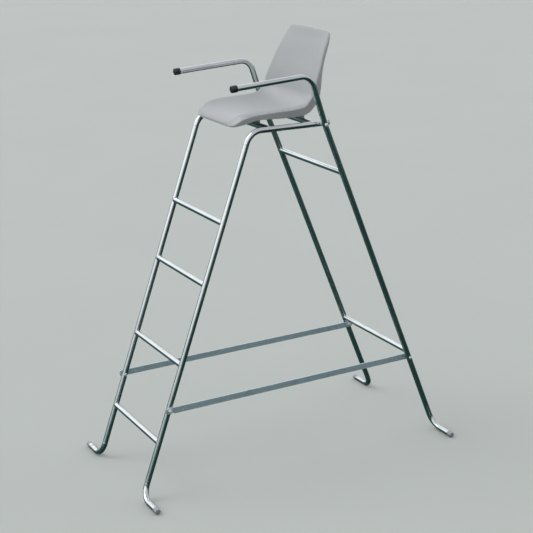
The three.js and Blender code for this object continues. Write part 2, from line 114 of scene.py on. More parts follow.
def loft(rings, closed=False, cap=(True, True), vs=None, mat=0, wear=None, us=None):
    """a skin over rings that all have n points; the ends close on their middle point"""
    n = len(rings[0])
    v = np.concatenate([np.asarray(r, float) for r in rings])
    w = np.zeros(len(v)) if wear is None else np.repeat(np.asarray(wear, float), n)
    vs = list(range(len(rings))) if vs is None else vs
    us = np.linspace(0, 1, n + 1) if us is None else us
    f, uv = [], []
    m = len(rings)
    for i in range(m if closed else m - 1):
        j = (i + 1) % m
        for k in range(n):
            l = (k + 1) % n
            f.append((i * n + k, i * n + l, j * n + l, j * n + k))
            uv.append(((us[k], vs[i]), (us[k + 1], vs[i]), (us[k + 1], vs[j]), (us[k], vs[j])))
    v = list(v)
    w = list(w)
    if not closed:
        for end, i in ((0, 0), (1, m - 1)):
            if cap[end]:
                c = len(v)
                v.append(np.mean(np.asarray(rings[i], float), axis=0))
                w.append(w[i * n])
                for k in range(n):
                    l = (k + 1) % n
                    a, b = i * n + k, i * n + l
                    f.append((c, b, a) if end == 0 else (c, a, b))
                    q = ((us[k] + us[k + 1]) / 2, vs[i])
                    uv.append((q, (us[k + 1], vs[i]), (us[k], vs[i])) if end == 0 else (q, (us[k], vs[i]), (us[k + 1], vs[i])))
    return Part(v, f, uv, w, mat).outward()


PIECES = []


def piece(name, parts, mats, nodes=(), body=None, slot=None, sharp=38.0):
    parts = parts if isinstance(parts, (list, tuple)) else [parts]
    verts, faces, uvs, wear, idx, base = [], [], [], [], [], 0
    for p in parts:
        verts.append(p.v)
        wear.append(p.wear)
        for k, t in enumerate(p.f):
            faces.append(tuple(i + base for i in t))
            uvs.extend(p.uv[k] if p.uv is not None else ((0.0, 0.0),) * len(t))
            idx.append(p.mat)
        base += len(p.v)
    me = bpy.data.meshes.new(name)
    me.from_pydata((np.concatenate(verts) * MM).tolist(), [], faces)
    layer = me.uv_layers.new(name="flow")
    layer.data.foreach_set("uv", np.asarray(uvs, np.float32).ravel())
    att = me.attributes.new("wear", "FLOAT", "POINT")
    att.data.foreach_set("value", np.concatenate(wear).astype(np.float32))
    me.polygons.foreach_set("material_index", idx)
    me.polygons.foreach_set("use_smooth", [True] * len(faces))
    for m in mats if isinstance(mats, (list, tuple)) else [mats]:
        me.materials.append(m)
    me.validate()
    me.update()
    me.set_sharp_from_angle(angle=math.radians(sharp))
    o = bpy.data.objects.new(name, me)
    bpy.context.scene.collection.objects.link(o)
    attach(o, body or BODY_OF[nodes[0]])
    if nodes:
        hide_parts(*nodes)
    PIECES.append(o)
    return o


def pair(node, parts, mats, slot, extra=(), sharp=38.0):
    """the left piece as given, and its mirror on the right, each standing for its CAD node"""
    parts = parts if isinstance(parts, (list, tuple)) else [parts]
    for side in ("left", "right"):
        ps = parts if side == "left" else [p.mirrored() for p in parts]
        piece(f"{node}_{side}.fine", ps, mats, [f"{node}_{side}"], slot=slot, sharp=sharp)


# a centre line with drawn bends. Each sample: place, direction, length along,
# how far into a bend, towards the bend's centre, and how strong a clamp mark is
def bent_path(points, radii, seg=60.0, mark=0.75):
    pts = [np.asarray(p, float) for p in points]
    out, marks = [], []

    def put(p, t, b):
        if not out or np.linalg.norm(out[-1][0] - p) > 0.2:
            out.append((p, unit(t), b))

    def straight(a, b, t, bend):
        length = np.linalg.norm(b - a)
        stops = {0.0, length}
        k = max(1, int(round(length / seg)))
        stops |= {length * i / k for i in range(k + 1)}
        for d in np.arange(0, 26, 2.0):
            if d < length:
                stops.add(float(d))
                stops.add(float(length - d))
        for s in sorted(stops):
            put(a + t * s, t, bend)

    at = pts[0]
    bends = []
    for i in range(1, len(pts) - 1):
        d0, d1 = unit(pts[i] - pts[i - 1]), unit(pts[i + 1] - pts[i])
        turn = math.acos(float(np.clip(d0 @ d1, -1, 1)))
        r = radii[i - 1]
        axis = unit(np.cross(d0, d1))
        a = pts[i] - d0 * r * math.tan(turn / 2)
        bends.append((a, d0, d1, turn, r, axis))
    for k, (a, d0, d1, turn, r, axis) in enumerate(bends):
        inward = unit(np.cross(axis, d0))
        straight(at, a, d0, inward)
        centre = a + inward * r
        n = max(3, int(round(math.degrees(turn) / 3.5)))
        for j in range(1, n + 1):
            g = turn * j / n
            rel = -inward * math.cos(g) + d0 * math.sin(g)
            tan = d0 * math.cos(g) + inward * math.sin(g)
            put(centre + rel * r, tan, -rel)
        at = centre + (-inward * math.cos(turn) + d0 * math.sin(turn)) * r
        marks.append((a, at, turn, -(-inward * math.cos(turn) + d0 * math.sin(turn))))
    straight(at, pts[-1], unit(pts[-1] - at), marks[-1][3])
    P = np.array([o[0] for o in out])
    T = np.array([o[1] for o in out])
    B = np.array([o[2] for o in out])
    S = np.concatenate([[0], np.cumsum(np.linalg.norm(np.diff(P, axis=0), axis=1))])
    W = np.zeros(len(P))
    M = np.zeros(len(P))
    for a, b, turn, _ in marks:
        sa = S[np.argmin(np.linalg.norm(P - a, axis=1))]
        sb = S[np.argmin(np.linalg.norm(P - b, axis=1))]
        if turn < 0.2:
            continue
        W = np.maximum(W, np.clip((S - sa + 10) / 20, 0, 1) * np.clip((sb - S + 10) / 20, 0, 1))
        for s0 in (sa - 3, sb + 3):
            M += mark * np.exp(-(((S - s0) / 2.6) ** 2)) - 0.55 * mark * np.exp(-(((S - s0) / 6.5) ** 2))
    W = W * W * (3 - 2 * W)
    return P, T, S, B, W, M


def frames(P, T):
    ref = np.array([0.0, 0, 1]) if abs(T[0][2]) < 0.9 else np.array([1.0, 0, 0])
    n = unit(ref - T[0] * (ref @ T[0]))
    N = [n]
    for i in range(1, len(P)):
        n = N[-1] - T[i] * (N[-1] @ T[i])
        N.append(unit(n))
    N = np.array(N)
    return N, np.cross(T, N)


def bent_tube(points, radii, sides=44, mat=0):
    P, T, S, B, W, M = bent_path(points, radii)
    N, Q = frames(P, T)
    ang = np.linspace(0, 2 * math.pi, sides, endpoint=False)

    def ring(i, r0, shift=0.0):
        e = np.cos(ang)[:, None] * N[i] + np.sin(ang)[:, None] * Q[i]
        c = e @ unit(B[i])
        outer = np.clip(-c, 0, 1)
        r = r0 * (1 + W[i] * (-0.026 * c * c + 0.014 * (1 - c * c) - 0.01 * outer**3)) + M[i] * (0.25 + 0.75 * outer)
        return P[i] + T[i] * shift + e * r[:, None]

    rings, vs = [], []
    last = len(P) - 1
    rings.append(ring(0, R - 0.4)); vs.append(0.0)
    rings.append(ring(0, R, 0.4)); vs.append(0.4)
    for i in range(1, last):
        rings.append(ring(i, R)); vs.append(S[i])
    rings.append(ring(last, R, -0.4)); vs.append(S[last] - 0.4)
    rings.append(ring(last, R - 0.4)); vs.append(S[last])
    rings.append(ring(last, R - WALL)); vs.append(S[last] + WALL)
    for i in range(last - 1, 0, -1):
        rings.append(ring(i, R - WALL)); vs.append(S[i])
    rings.append(ring(0, R - WALL)); vs.append(-WALL)
    return loft(rings, closed=True, vs=[v * MM for v in vs], us=np.linspace(0, 2 * math.pi * R * MM, sides + 1), mat=mat)


# a straight tube across the chair, its ends saddled into the side tubes
def saddle(ang, r, direction, side_x, r_side):
    nrm = np.array([-direction[1], direction[0]])          # in (y, z), square to the side tube
    t = r * (np.cos(ang) * nrm[0] + np.sin(ang) * nrm[1])
    return side_x - np.sqrt(np.maximum(r_side**2 - t**2, 0.0))


def cross_tube(y, z, side_x, direction, sides=44, mat=0):
    ang = np.linspace(0, 2 * math.pi, sides, endpoint=False)
    rings, vs = [], []

    def ring(r, frac, into):
        x = saddle(ang, r, direction, side_x, R - into) * frac
        return np.stack([x, y + r * np.cos(ang), z + r * np.sin(ang)], axis=1)

    steps = [-1, -0.985, -0.94, -0.8, -0.6, -0.4, -0.2, 0, 0.2, 0.4, 0.6, 0.8, 0.94, 0.985, 1]
    for s in steps:
        rings.append(ring(R, s, 0.35)); vs.append(s * side_x * MM)
    for s in steps[::-1]:
        rings.append(ring(R - WALL, s, 0.35)); vs.append(s * side_x * MM)
    return loft(rings, closed=True, vs=vs, us=np.linspace(0, 2 * math.pi * R * MM, sides + 1), mat=mat)


# the bead of weld round such a saddle: a rippled fillet, slightly uneven as it is by hand
def bead(y, z, side_x, direction, sign, seed, mat=1, steps=220, sides=8):
    rng = np.random.default_rng(seed)
    ang = np.linspace(0, 2 * math.pi, steps, endpoint=False) + rng.uniform(0, 6.28)
    x = saddle(ang, R, direction, side_x, R)
    n1 = np.stack([np.zeros(steps), np.cos(ang), np.sin(ang)], axis=1)
    P = np.stack([x, y + R * np.cos(ang), z + R * np.sin(ang)], axis=1)
    d3 = np.array([0.0, direction[0], direction[1]])
    rel = P - np.array([side_x, y, z])
    n2 = unit(rel - np.outer(rel @ d3, d3))
    N = unit(n1 + n2 + np.array([-0.25, 0, 0]))
    T = unit(np.roll(P, -1, axis=0) - np.roll(P, 1, axis=0))
    N = unit(N - T * np.sum(N * T, axis=1, keepdims=True))
    Q = np.cross(T, N)
    wob = sum(rng.uniform(0.02, 0.07) * np.sin(k * ang + rng.uniform(0, 6.28)) for k in range(1, 6))
    rip = 0.13 * np.abs(np.sin(ang * 21.5 + 0.5 * np.sin(ang * 3)))
    size = (0.92 + wob + rip)
    a = np.linspace(0, 2 * math.pi, sides, endpoint=False)
    rings = []
    for i in range(steps):
        rings.append(P[i] + (np.cos(a)[:, None] * N[i] * 1.75 + np.sin(a)[:, None] * Q[i] * 2.7) * size[i] - N[i] * 0.25)
    p = loft(rings, closed=True, vs=np.linspace(0, 0.09, steps), mat=mat)
    return p if sign > 0 else p.mirrored()


def turned(profile, place, sides=40, mat=0, cap=(True, True), wear=None):
    """profile is (along, radius) pairs; place maps (along, radius, angle) to a point"""
    ang = np.linspace(0, 2 * math.pi, sides, endpoint=False)
    prof = [(a, max(r, 0.12)) for a, r in profile]
    vs = np.concatenate([[0], np.cumsum([math.hypot(prof[i + 1][0] - prof[i][0], prof[i + 1][1] - prof[i][1]) for i in range(len(prof) - 1)])]) * MM
    return loft([place(a, r * np.ones(sides), ang) for a, r in prof], cap=cap, vs=vs, mat=mat, wear=wear,
                us=np.linspace(0, 2 * math.pi * 10 * MM, sides + 1))


def on_x(x0, y, z, direction=1):
    def place(a, r, ang):
        return np.stack([np.full(len(ang), x0 + direction * a), y + r * np.cos(ang), z + r * np.sin(ang)], axis=1)
    return place


def on_axis(origin, direction):
    d = unit(np.asarray(direction, float))
    ref = np.array([0.0, 0, 1]) if abs(d[2]) < 0.9 else np.array([1.0, 0, 0])
    n = unit(ref - d * (ref @ d))
    q = np.cross(d, n)
    o = np.asarray(origin, float)

    def place(a, r, ang):
        return o + d * a + (np.cos(ang) * r)[:, None] * n + (np.sin(ang) * r)[:, None] * q
    return place


def fillet(c, r, a0, a1, n=5):
    """profile points on an arc, centre c = (along, radius)"""
    return [(c[0] + r * math.cos(math.radians(a0 + (a1 - a0) * i / n)), c[1] + r * math.sin(math.radians(a0 + (a1 - a0) * i / n))) for i in range(n + 1)]


HEX_N = 48


def hex_r(af, ang, turn=0.0):
    k = (ang - turn + math.pi / 6) % (math.pi / 3) - math.pi / 6
    return af / 2 / np.cos(k)


def thread(place, a0, a1, r, pitch, depth):
    """rings of a screw thread from a0 to a1"""
    ang = np.linspace(0, 2 * math.pi, HEX_N, endpoint=False)
    n = max(2, int(abs(a1 - a0) / pitch * 6))
    out = []
    for i in range(n + 1):
        a = a0 + (a1 - a0) * i / n
        ph = (a / pitch - ang / (2 * math.pi)) % 1.0
        fade = min(1.0, abs(a - a1) / (0.8 * pitch))
        out.append(place(a, r - depth * (1 - np.abs(2 * ph - 1)) * 0.9 - (1 - fade) * 0.4, ang))
    return out


def hex_bolt(place, af, head, shank, r, length, threaded, pitch, turn=0.3, mat=0):
    """along 0 is under the head; the head stands at -head, the shank runs to +length"""
    ang = np.linspace(0, 2 * math.pi, HEX_N, endpoint=False)
    h, r0 = hex_r(af, ang, turn), af / 2 * 0.95
    c = np.full(HEX_N, 1.0)
    rings = [place(-head + 0.25, c * r0 * 0.55, ang), place(-head + 0.25, c * r0 * 0.72, ang), place(-head, c * r0 * 0.8, ang), place(-head, c * r0, ang)]
    wear = [0, 0, 0.3, 0.8]
    lip = (h - r0) * math.tan(math.radians(30))
    base = place(-head, h, ang)
    low = place(-0.45, h, ang)
    top = base + (low - base) * ((lip + 0.05) / (head - 0.45))[:, None]
    rings += [top, base + (low - base) * ((lip + 0.35) / (head - 0.45))[:, None], low, place(-0.4, c * r0, ang), place(-0.05, c * r0 * 0.985, ang), place(0, c * r0 * 0.95, ang), place(0, c * r, ang)]
    wear += [1, 0.25, 0.3, 0.1, 0.3, 0, 0]
    rings += [place(length - threaded - 0.5, c * r, ang)]
    wear += [0]
    t = thread(place, length - threaded, length - 0.2, r, pitch, pitch * 0.5)
    rings += t
    wear += [0.3] * len(t)
    rings += [place(length, c * (r - pitch * 0.6), ang)]
    wear += [0.6]
    return loft(rings, vs=[i * 0.001 for i in range(len(rings))], mat=mat, wear=wear)


def dome_bolt(place, rad, head, r, length, threaded, pitch, mat=0):
    """a bolt with a round domed head, along 0 under the head"""
    ang = np.linspace(0, 2 * math.pi, HEX_N, endpoint=False)
    c = np.full(HEX_N, 1.0)
    rings, wear = [], []
    for i in range(1, 10):
        t = i / 9 * math.pi / 2
        rings.append(place(-1.1 - (head - 1.1) * math.cos(t), c * rad * math.sin(t), ang))
        wear.append(1.0 - 0.6 * i / 9)
    rings += [place(-0.7, c * rad, ang), place(-0.2, c * (rad - 0.12), ang), place(0, c * (rad - 0.5), ang), place(0, c * r, ang), place(length - threaded - 0.5, c * r, ang)]
    wear += [0.6, 0.2, 0, 0, 0]
    t = thread(place, length - threaded, length - 0.2, r, pitch, pitch * 0.5)
    rings += t + [place(length, c * (r - pitch * 0.6), ang)]
    wear += [0.3] * len(t) + [0.6]
    return loft(rings, vs=[i * 0.001 for i in range(len(rings))], mat=mat, wear=wear)


def hex_nut(place, af, height, hole, turn=0.1, mat=0):
    ang = np.linspace(0, 2 * math.pi, HEX_N, endpoint=False)
    h, r0 = hex_r(af, ang, turn), af / 2 * 0.95
    c = np.full(HEX_N, 1.0)
    t = math.tan(math.radians(30))
    a, b = place(0, h, ang), place(height, h, ang)
    up = ((h - r0) * t / height)[:, None]
    rings = [place(0.7, c * hole, ang), place(0, c * (hole + 0.6), ang), place(0, c * r0, ang), a + (b - a) * (up + 0.005), a + (b - a) * (up + 0.05),
             b + (a - b) * (up + 0.05), b + (a - b) * (up + 0.005), place(height, c * r0, ang), place(height, c * (hole + 0.6), ang), place(height - 0.7, c * hole, ang)]
    return loft(rings, closed=True, vs=[i * 0.001 for i in range(len(rings))], mat=mat, wear=[0, 0.3, 0.5, 1, 0.2, 0.2, 1, 0.5, 0.3, 0])


# a flat plate from 2-D loops (the outline runs one way, the holes the other), its edges rounded
def offset(loop, d):
    p = np.asarray(loop, float)
    e = unit(np.roll(p, -1, axis=0) - p)
    n = np.stack([-e[:, 1], e[:, 0]], axis=1)              # left of travel is inside an anticlockwise outline
    m = n + np.roll(n, 1, axis=0)
    m = m / np.maximum(np.sum(m * m, axis=1, keepdims=True), 0.5) * 2
    return p + m * d


def area(loop):
    p = np.asarray(loop, float)
    q = np.roll(p, -1, axis=0)
    return 0.5 * np.sum(p[:, 0] * q[:, 1] - q[:, 0] * p[:, 1])


def plate(loops, t, bevel, to3d, mat=0, inner=1.6):
    fixed = []
    for i, l in enumerate(loops):
        l = np.asarray(l, float)
        ccw = area(l) > 0
        fixed.append(l if ccw == (i == 0) else l[::-1])
    prof = [(bevel + inner, 0.0, 0.0), (bevel, 0.0, 0.35)]
    prof += [(bevel * (1 - math.sin(math.radians(a))), bevel * (1 - math.cos(math.radians(a))), 1.0) for a in (30, 60)]
    prof += [(0.0, bevel, 0.8), (0.0, t / 2, 0.25), (0.0, t - bevel, 0.8)]
    prof += [(bevel * (1 - math.sin(math.radians(a))), t - bevel * (1 - math.cos(math.radians(a))), 1.0) for a in (60, 30)]
    prof += [(bevel, t, 0.35), (bevel + inner, t, 0.0)]
    v, f, w, tops, bottoms = [], [], [], [], []
    for l in fixed:
        n, base = len(l), len(v)
        for k, (ins, d, wr) in enumerate(prof):
            for x, y in offset(l, ins):
                v.append((x, y, d))
                w.append(wr)
            if k:
                for i in range(n):
                    j = (i + 1) % n
                    a, b = base + (k - 1) * n, base + k * n
                    f.append((a + i, a + j, b + j, b + i))
        bottoms.append([base + i for i in range(n)])
        tops.append([base + (len(prof) - 1) * n + i for i in range(n)])
    v = np.array(v)
    for group, up in ((bottoms, False), (tops, True)):
        flat = [i for g in group for i in g]
        tris = tessellate_polygon([[Vector((v[i][0], v[i][1], 0)) for i in g] for g in group])
        for t3 in tris:
            ids = [flat[k] for k in t3]
            a, b, c = (v[i][:2] for i in ids)
            ccw = (b[0] - a[0]) * (c[1] - a[1]) - (b[1] - a[1]) * (c[0] - a[0]) > 0
            f.append(tuple(ids if ccw == up else ids[::-1]))
    return Part(to3d(v), f, None, w, mat).outward()


def circle(c, r, n=32):
    a = np.linspace(0, 2 * math.pi, n, endpoint=False)
    return np.stack([c[0] + r * np.cos(a), c[1] + r * np.sin(a)], axis=1)


def ring_plate(x0, x1, y, z, ro, ri, bevel=0.25):
    lo, hi = min(x0, x1), max(x0, x1)
    return plate([circle((y, z), ro, 48), circle((y, z), ri, 32)], hi - lo, bevel,
                 lambda v: np.stack([lo + v[:, 2], v[:, 0], v[:, 1]], axis=1), inner=0.6)


# ---- materials ---------------------------------------------------------------
class Nodes:
    def __init__(self, name):
        self.m = bpy.data.materials.new(name)
        self.m.use_nodes = True
        self.t = self.m.node_tree
        self.t.nodes.clear()
        self.out = self.t.nodes.new("ShaderNodeOutputMaterial")
        self.b = self.t.nodes.new("ShaderNodeBsdfPrincipled")
        self.t.links.new(self.b.outputs[0], self.out.inputs[0])
        self.obj = self.t.nodes.new("ShaderNodeTexCoord").outputs["Object"]

    def link(self, a, b):
        self.t.links.new(a, b)

    def put(self, socket, value):
        if isinstance(value, bpy.types.NodeSocket):
            self.link(value, socket)
        else:
            socket.default_value = value

    def math(self, op, a, b=0.0, c=0.0, clamp=False):
        n = self.t.nodes.new("ShaderNodeMath")
        n.operation = op
        n.use_clamp = clamp
        for s, v in zip(n.inputs, (a, b, c)):
            self.put(s, v)
        return n.outputs[0]

    def scaled(self, v, s):
        n = self.t.nodes.new("ShaderNodeVectorMath")
        n.operation = "MULTIPLY"
        self.put(n.inputs[0], v)
        n.inputs[1].default_value = s
        return n.outputs[0]

    def noise(self, scale, detail=4.0, rough=0.55, vec=None, dist=0.0):
        n = self.t.nodes.new("ShaderNodeTexNoise")
        self.link(vec if vec is not None else self.obj, n.inputs["Vector"])
        n.inputs["Scale"].default_value = scale
        n.inputs["Detail"].default_value = detail
        n.inputs["Roughness"].default_value = rough
        n.inputs["Distortion"].default_value = dist
        return n.outputs["Fac"]

    def voronoi(self, scale, vec=None, feature="F1", out="Distance", rand=1.0):
        n = self.t.nodes.new("ShaderNodeTexVoronoi")
        n.feature = feature
        self.link(vec if vec is not None else self.obj, n.inputs["Vector"])
        n.inputs["Scale"].default_value = scale
        n.inputs["Randomness"].default_value = rand
        return n.outputs[out]

    def map(self, v, a0, a1, b0, b1, smooth=False):
        n = self.t.nodes.new("ShaderNodeMapRange")
        n.interpolation_type = "SMOOTHSTEP" if smooth else "LINEAR"
        n.clamp = True
        for s, x in zip(n.inputs, (v, a0, a1, b0, b1)):
            self.put(s, x)
        return n.outputs[0]

    def mix(self, f, a, b, mode="MIX"):
        n = self.t.nodes.new("ShaderNodeMix")
        n.data_type = "RGBA"
        n.blend_type = mode
        n.clamp_factor = True
        ins = [s for s in n.inputs if s.enabled]
        for s, x in zip(ins, (f, a, b)):
            if isinstance(x, tuple):
                s.default_value = (*x, 1.0)
            else:
                self.put(s, x)
        return [s for s in n.outputs if s.enabled][0]

    def uv(self):
        n = self.t.nodes.new("ShaderNodeUVMap")
        n.uv_map = "flow"
        return n.outputs[0]

    def wear(self):
        n = self.t.nodes.new("ShaderNodeAttribute")
        n.attribute_name = "wear"
        return n.outputs["Fac"]

    def xyz(self, v):
        n = self.t.nodes.new("ShaderNodeSeparateXYZ")
        self.link(v, n.inputs[0])
        return n.outputs

    def bump(self, height, strength, distance, before=None):
        n = self.t.nodes.new("ShaderNodeBump")
        n.inputs["Strength"].default_value = strength
        n.inputs["Distance"].default_value = distance
        self.link(height, n.inputs["Height"])
        if before is not None:
            self.link(before, n.inputs["Normal"])
        return n.outputs[0]

    def finish(self, color, rough, normal=None, metallic=0.0, **sockets):
        self.put(self.b.inputs["Base Color"], color)
        self.put(self.b.inputs["Roughness"], rough)
        self.b.inputs["Metallic"].default_value = metallic
        if normal is not None:
            self.link(normal, self.b.inputs["Normal"])
        for k, v in sockets.items():
            self.b.inputs[k.replace("_", " ")].default_value = v
        return self.m


def tube_material(name, light, dark):
    k = Nodes(name)
    uv = k.uv()
    draw = k.noise(1.0, 5, 0.6, k.scaled(uv, (2600.0, 9.0, 1.0)))              # draw lines run along the tube
    fine = k.noise(1.0, 3, 0.6, k.scaled(uv, (7000.0, 40.0, 1.0)))
    cloud = k.noise(7.0, 5, 0.6)                                                # plating haze
    patch = k.map(k.noise(2.3, 3, 0.5), 0.42, 0.62, 0.0, 1.0, True)
    u = k.xyz(uv)[0]
    seam = k.map(k.math("ABSOLUTE", k.math("SUBTRACT", u, 0.021)), 0.0002, 0.0009, 1.0, 0.0, True)   # the tube's welded seam
    low = k.map(k.xyz(k.obj)[2], 0.0, 0.16, 1.0, 0.0, True)                     # splashed near the ground
    soil = k.math("MULTIPLY", low, k.map(k.noise(34.0, 6, 0.7), 0.50, 0.66, 0.0, 1.0, True))
    scratch = k.map(k.noise(1.0, 2, 0.5, k.scaled(uv, (420.0, 55.0, 1.0)), 0.6), 0.70, 0.76, 0.0, 1.0, True)
    spots = k.map(k.voronoi(420.0), 0.04, 0.12, 1.0, 0.0, True)
    spots = k.math("MULTIPLY", spots, k.map(k.noise(16.0, 3, 0.6), 0.56, 0.68, 0.0, 1.0, True))
    base = k.mix(k.map(cloud, 0.3, 0.7, 0.0, 1.0), dark, light)
    base = k.mix(k.math("MULTIPLY", draw, 0.30), base, tuple(c * 0.72 for c in dark))
    base = k.mix(k.math("MULTIPLY", scratch, 0.35), base, tuple(min(1, c * 1.35) for c in light))
    base = k.mix(k.math("MULTIPLY", spots, 0.5), base, tuple(c * 0.55 for c in dark))
    base = k.mix(k.math("MULTIPLY", seam, 0.35), base, tuple(c * 0.7 for c in dark))
    base = k.mix(k.math("MULTIPLY", soil, 0.45), base, (0.20, 0.19, 0.13))
    rough = k.map(cloud, 0.3, 0.7, 0.085, 0.17)
    rough = k.math("ADD", rough, k.math("MULTIPLY", patch, 0.05))
    rough = k.math("ADD", rough, k.math("MULTIPLY", draw, 0.07))
    rough = k.math("ADD", rough, k.math("MULTIPLY", scratch, 0.12))
    rough = k.math("ADD", rough, k.math("MULTIPLY", spots, 0.25))
    rough = k.math("ADD", rough, k.math("MULTIPLY", soil, 0.42), clamp=True)
    nrm = k.bump(draw, 0.12, 0.00012)
    nrm = k.bump(fine, 0.06, 0.00006, nrm)
    nrm = k.bump(k.math("SUBTRACT", seam, k.math("MULTIPLY", spots, 0.6)), 0.22, 0.00012, nrm)
    nrm = k.bump(k.noise(26.0, 2, 0.5), 0.10, 0.0009, nrm)                      # the tube isn't dead straight in a reflection
    return k.finish(base, rough, nrm, 1.0)


def weld_material():
    k = Nodes("weld_bead")
    n = k.noise(320.0, 5, 0.6)
    big = k.noise(60.0, 3, 0.5)
    base = k.mix(k.map(n, 0.3, 0.7, 0.0, 1.0), (0.30, 0.31, 0.32), (0.50, 0.51, 0.52))
    base = k.mix(k.map(big, 0.5, 0.7, 0.0, 0.4), base, (0.24, 0.20, 0.15))
    rough = k.map(n, 0.3, 0.7, 0.26, 0.46)
    return k.finish(base, rough, k.bump(n, 0.35, 0.0002), 1.0)


def bar_material():
    k = Nodes("galvanised_bar")
    cell = k.voronoi(150.0, k.scaled(k.obj, (1.0, 0.62, 1.0)), out="Color")      # spangle, drawn out along the bar
    shade = k.xyz(cell)[0]
    tilt = k.xyz(cell)[1]
    fine = k.noise(900.0, 4, 0.6)
    haze = k.noise(9.0, 5, 0.6)
    roll = k.noise(1.0, 4, 0.6, k.scaled(k.obj, (900.0, 10.0, 900.0)))
    wear = k.wear()
    rub = k.math("MULTIPLY", wear, k.map(k.noise(45.0, 4, 0.6), 0.35, 0.62, 0.15, 1.0, True))
    grime = k.map(k.noise(22.0, 6, 0.7), 0.54, 0.70, 0.0, 1.0, True)
    base = k.mix(shade, (0.480, 0.620, 0.680), (0.640, 0.780, 0.830))
    base = k.mix(k.map(haze, 0.35, 0.7, 0.0, 0.55), base, (0.56, 0.69, 0.74))
    base = k.mix(k.math("MULTIPLY", roll, 0.25), base, (0.35, 0.43, 0.47))
    base = k.mix(k.math("MULTIPLY", rub, 0.75), base, (0.66, 0.68, 0.69))
    base = k.mix(k.math("MULTIPLY", grime, 0.35), base, (0.17, 0.18, 0.17))
    rough = k.math("ADD", k.map(tilt, 0.0, 1.0, 0.34, 0.50), k.math("MULTIPLY", fine, 0.06))
    rough = k.math("SUBTRACT", rough, k.math("MULTIPLY", rub, 0.12))
    rough = k.math("ADD", rough, k.math("MULTIPLY", grime, 0.12), clamp=True)
    nrm = k.bump(shade, 0.05, 0.0002)
    nrm = k.bump(k.math("ADD", fine, roll), 0.10, 0.0001, nrm)
    return k.finish(base, rough, nrm, 0.55)


def zinc_material():
    k = Nodes("zinc_fastener")
    n = k.noise(240.0, 4, 0.6)
    f = k.noise(1500.0, 3, 0.6)
    haze = k.noise(55.0, 4, 0.6)
    wear = k.wear()
    rub = k.math("MULTIPLY", wear, k.map(k.noise(130.0, 3, 0.6), 0.3, 0.6, 0.3, 1.0, True))
    base = k.mix(k.map(n, 0.3, 0.7, 0.0, 1.0), (0.72, 0.735, 0.75), (0.87, 0.88, 0.885))
    base = k.mix(k.map(haze, 0.5, 0.72, 0.0, 0.45), base, (0.66, 0.65, 0.60))
    base = k.mix(k.math("MULTIPLY", rub, 0.8), base, (0.86, 0.86, 0.85))
    rough = k.math("SUBTRACT", k.map(n, 0.3, 0.7, 0.22, 0.40), k.math("MULTIPLY", rub, 0.10))
    nrm = k.bump(f, 0.10, 0.0001)
    nrm = k.bump(n, 0.08, 0.0002, nrm)
    return k.finish(base, rough, nrm, 0.5)


def cap_material(name, base_lo, base_hi, scuff, dirt=0.0):
    k = Nodes(name)
    n = k.noise(160.0, 5, 0.6)
    g = k.voronoi(1300.0)
    wear = k.wear()
    rub = k.math("MULTIPLY", wear, k.map(k.noise(190.0, 4, 0.65), 0.42, 0.60, 0.0, 1.0, True))
    line = k.map(k.noise(1.0, 3, 0.6, k.scaled(k.obj, (260.0, 1500.0, 900.0)), 0.4), 0.66, 0.72, 0.0, 1.0, True)
    base = k.mix(k.map(n, 0.3, 0.7, 0.0, 1.0), base_lo, base_hi)
    base = k.mix(k.math("MULTIPLY", rub, 0.6), base, scuff)
    base = k.mix(k.math("MULTIPLY", line, 0.25), base, scuff)
    rough = k.math("ADD", k.map(n, 0.3, 0.7, 0.36, 0.52), k.math("MULTIPLY", rub, 0.15))
    if dirt:
        low = k.map(k.xyz(k.obj)[2], 0.0, 0.02, 1.0, 0.0, True)
        soil = k.math("MULTIPLY", low, k.map(k.noise(120.0, 6, 0.7), 0.36, 0.62, 0.0, dirt, True))
        base = k.mix(soil, base, (0.16, 0.15, 0.09))
        rough = k.math("ADD", rough, k.math("MULTIPLY", soil, 0.3), clamp=True)
    nrm = k.bump(g, 0.12, 0.00012)
    nrm = k.bump(n, 0.10, 0.0002, nrm)
    return k.finish(base, rough, nrm, 0.0)


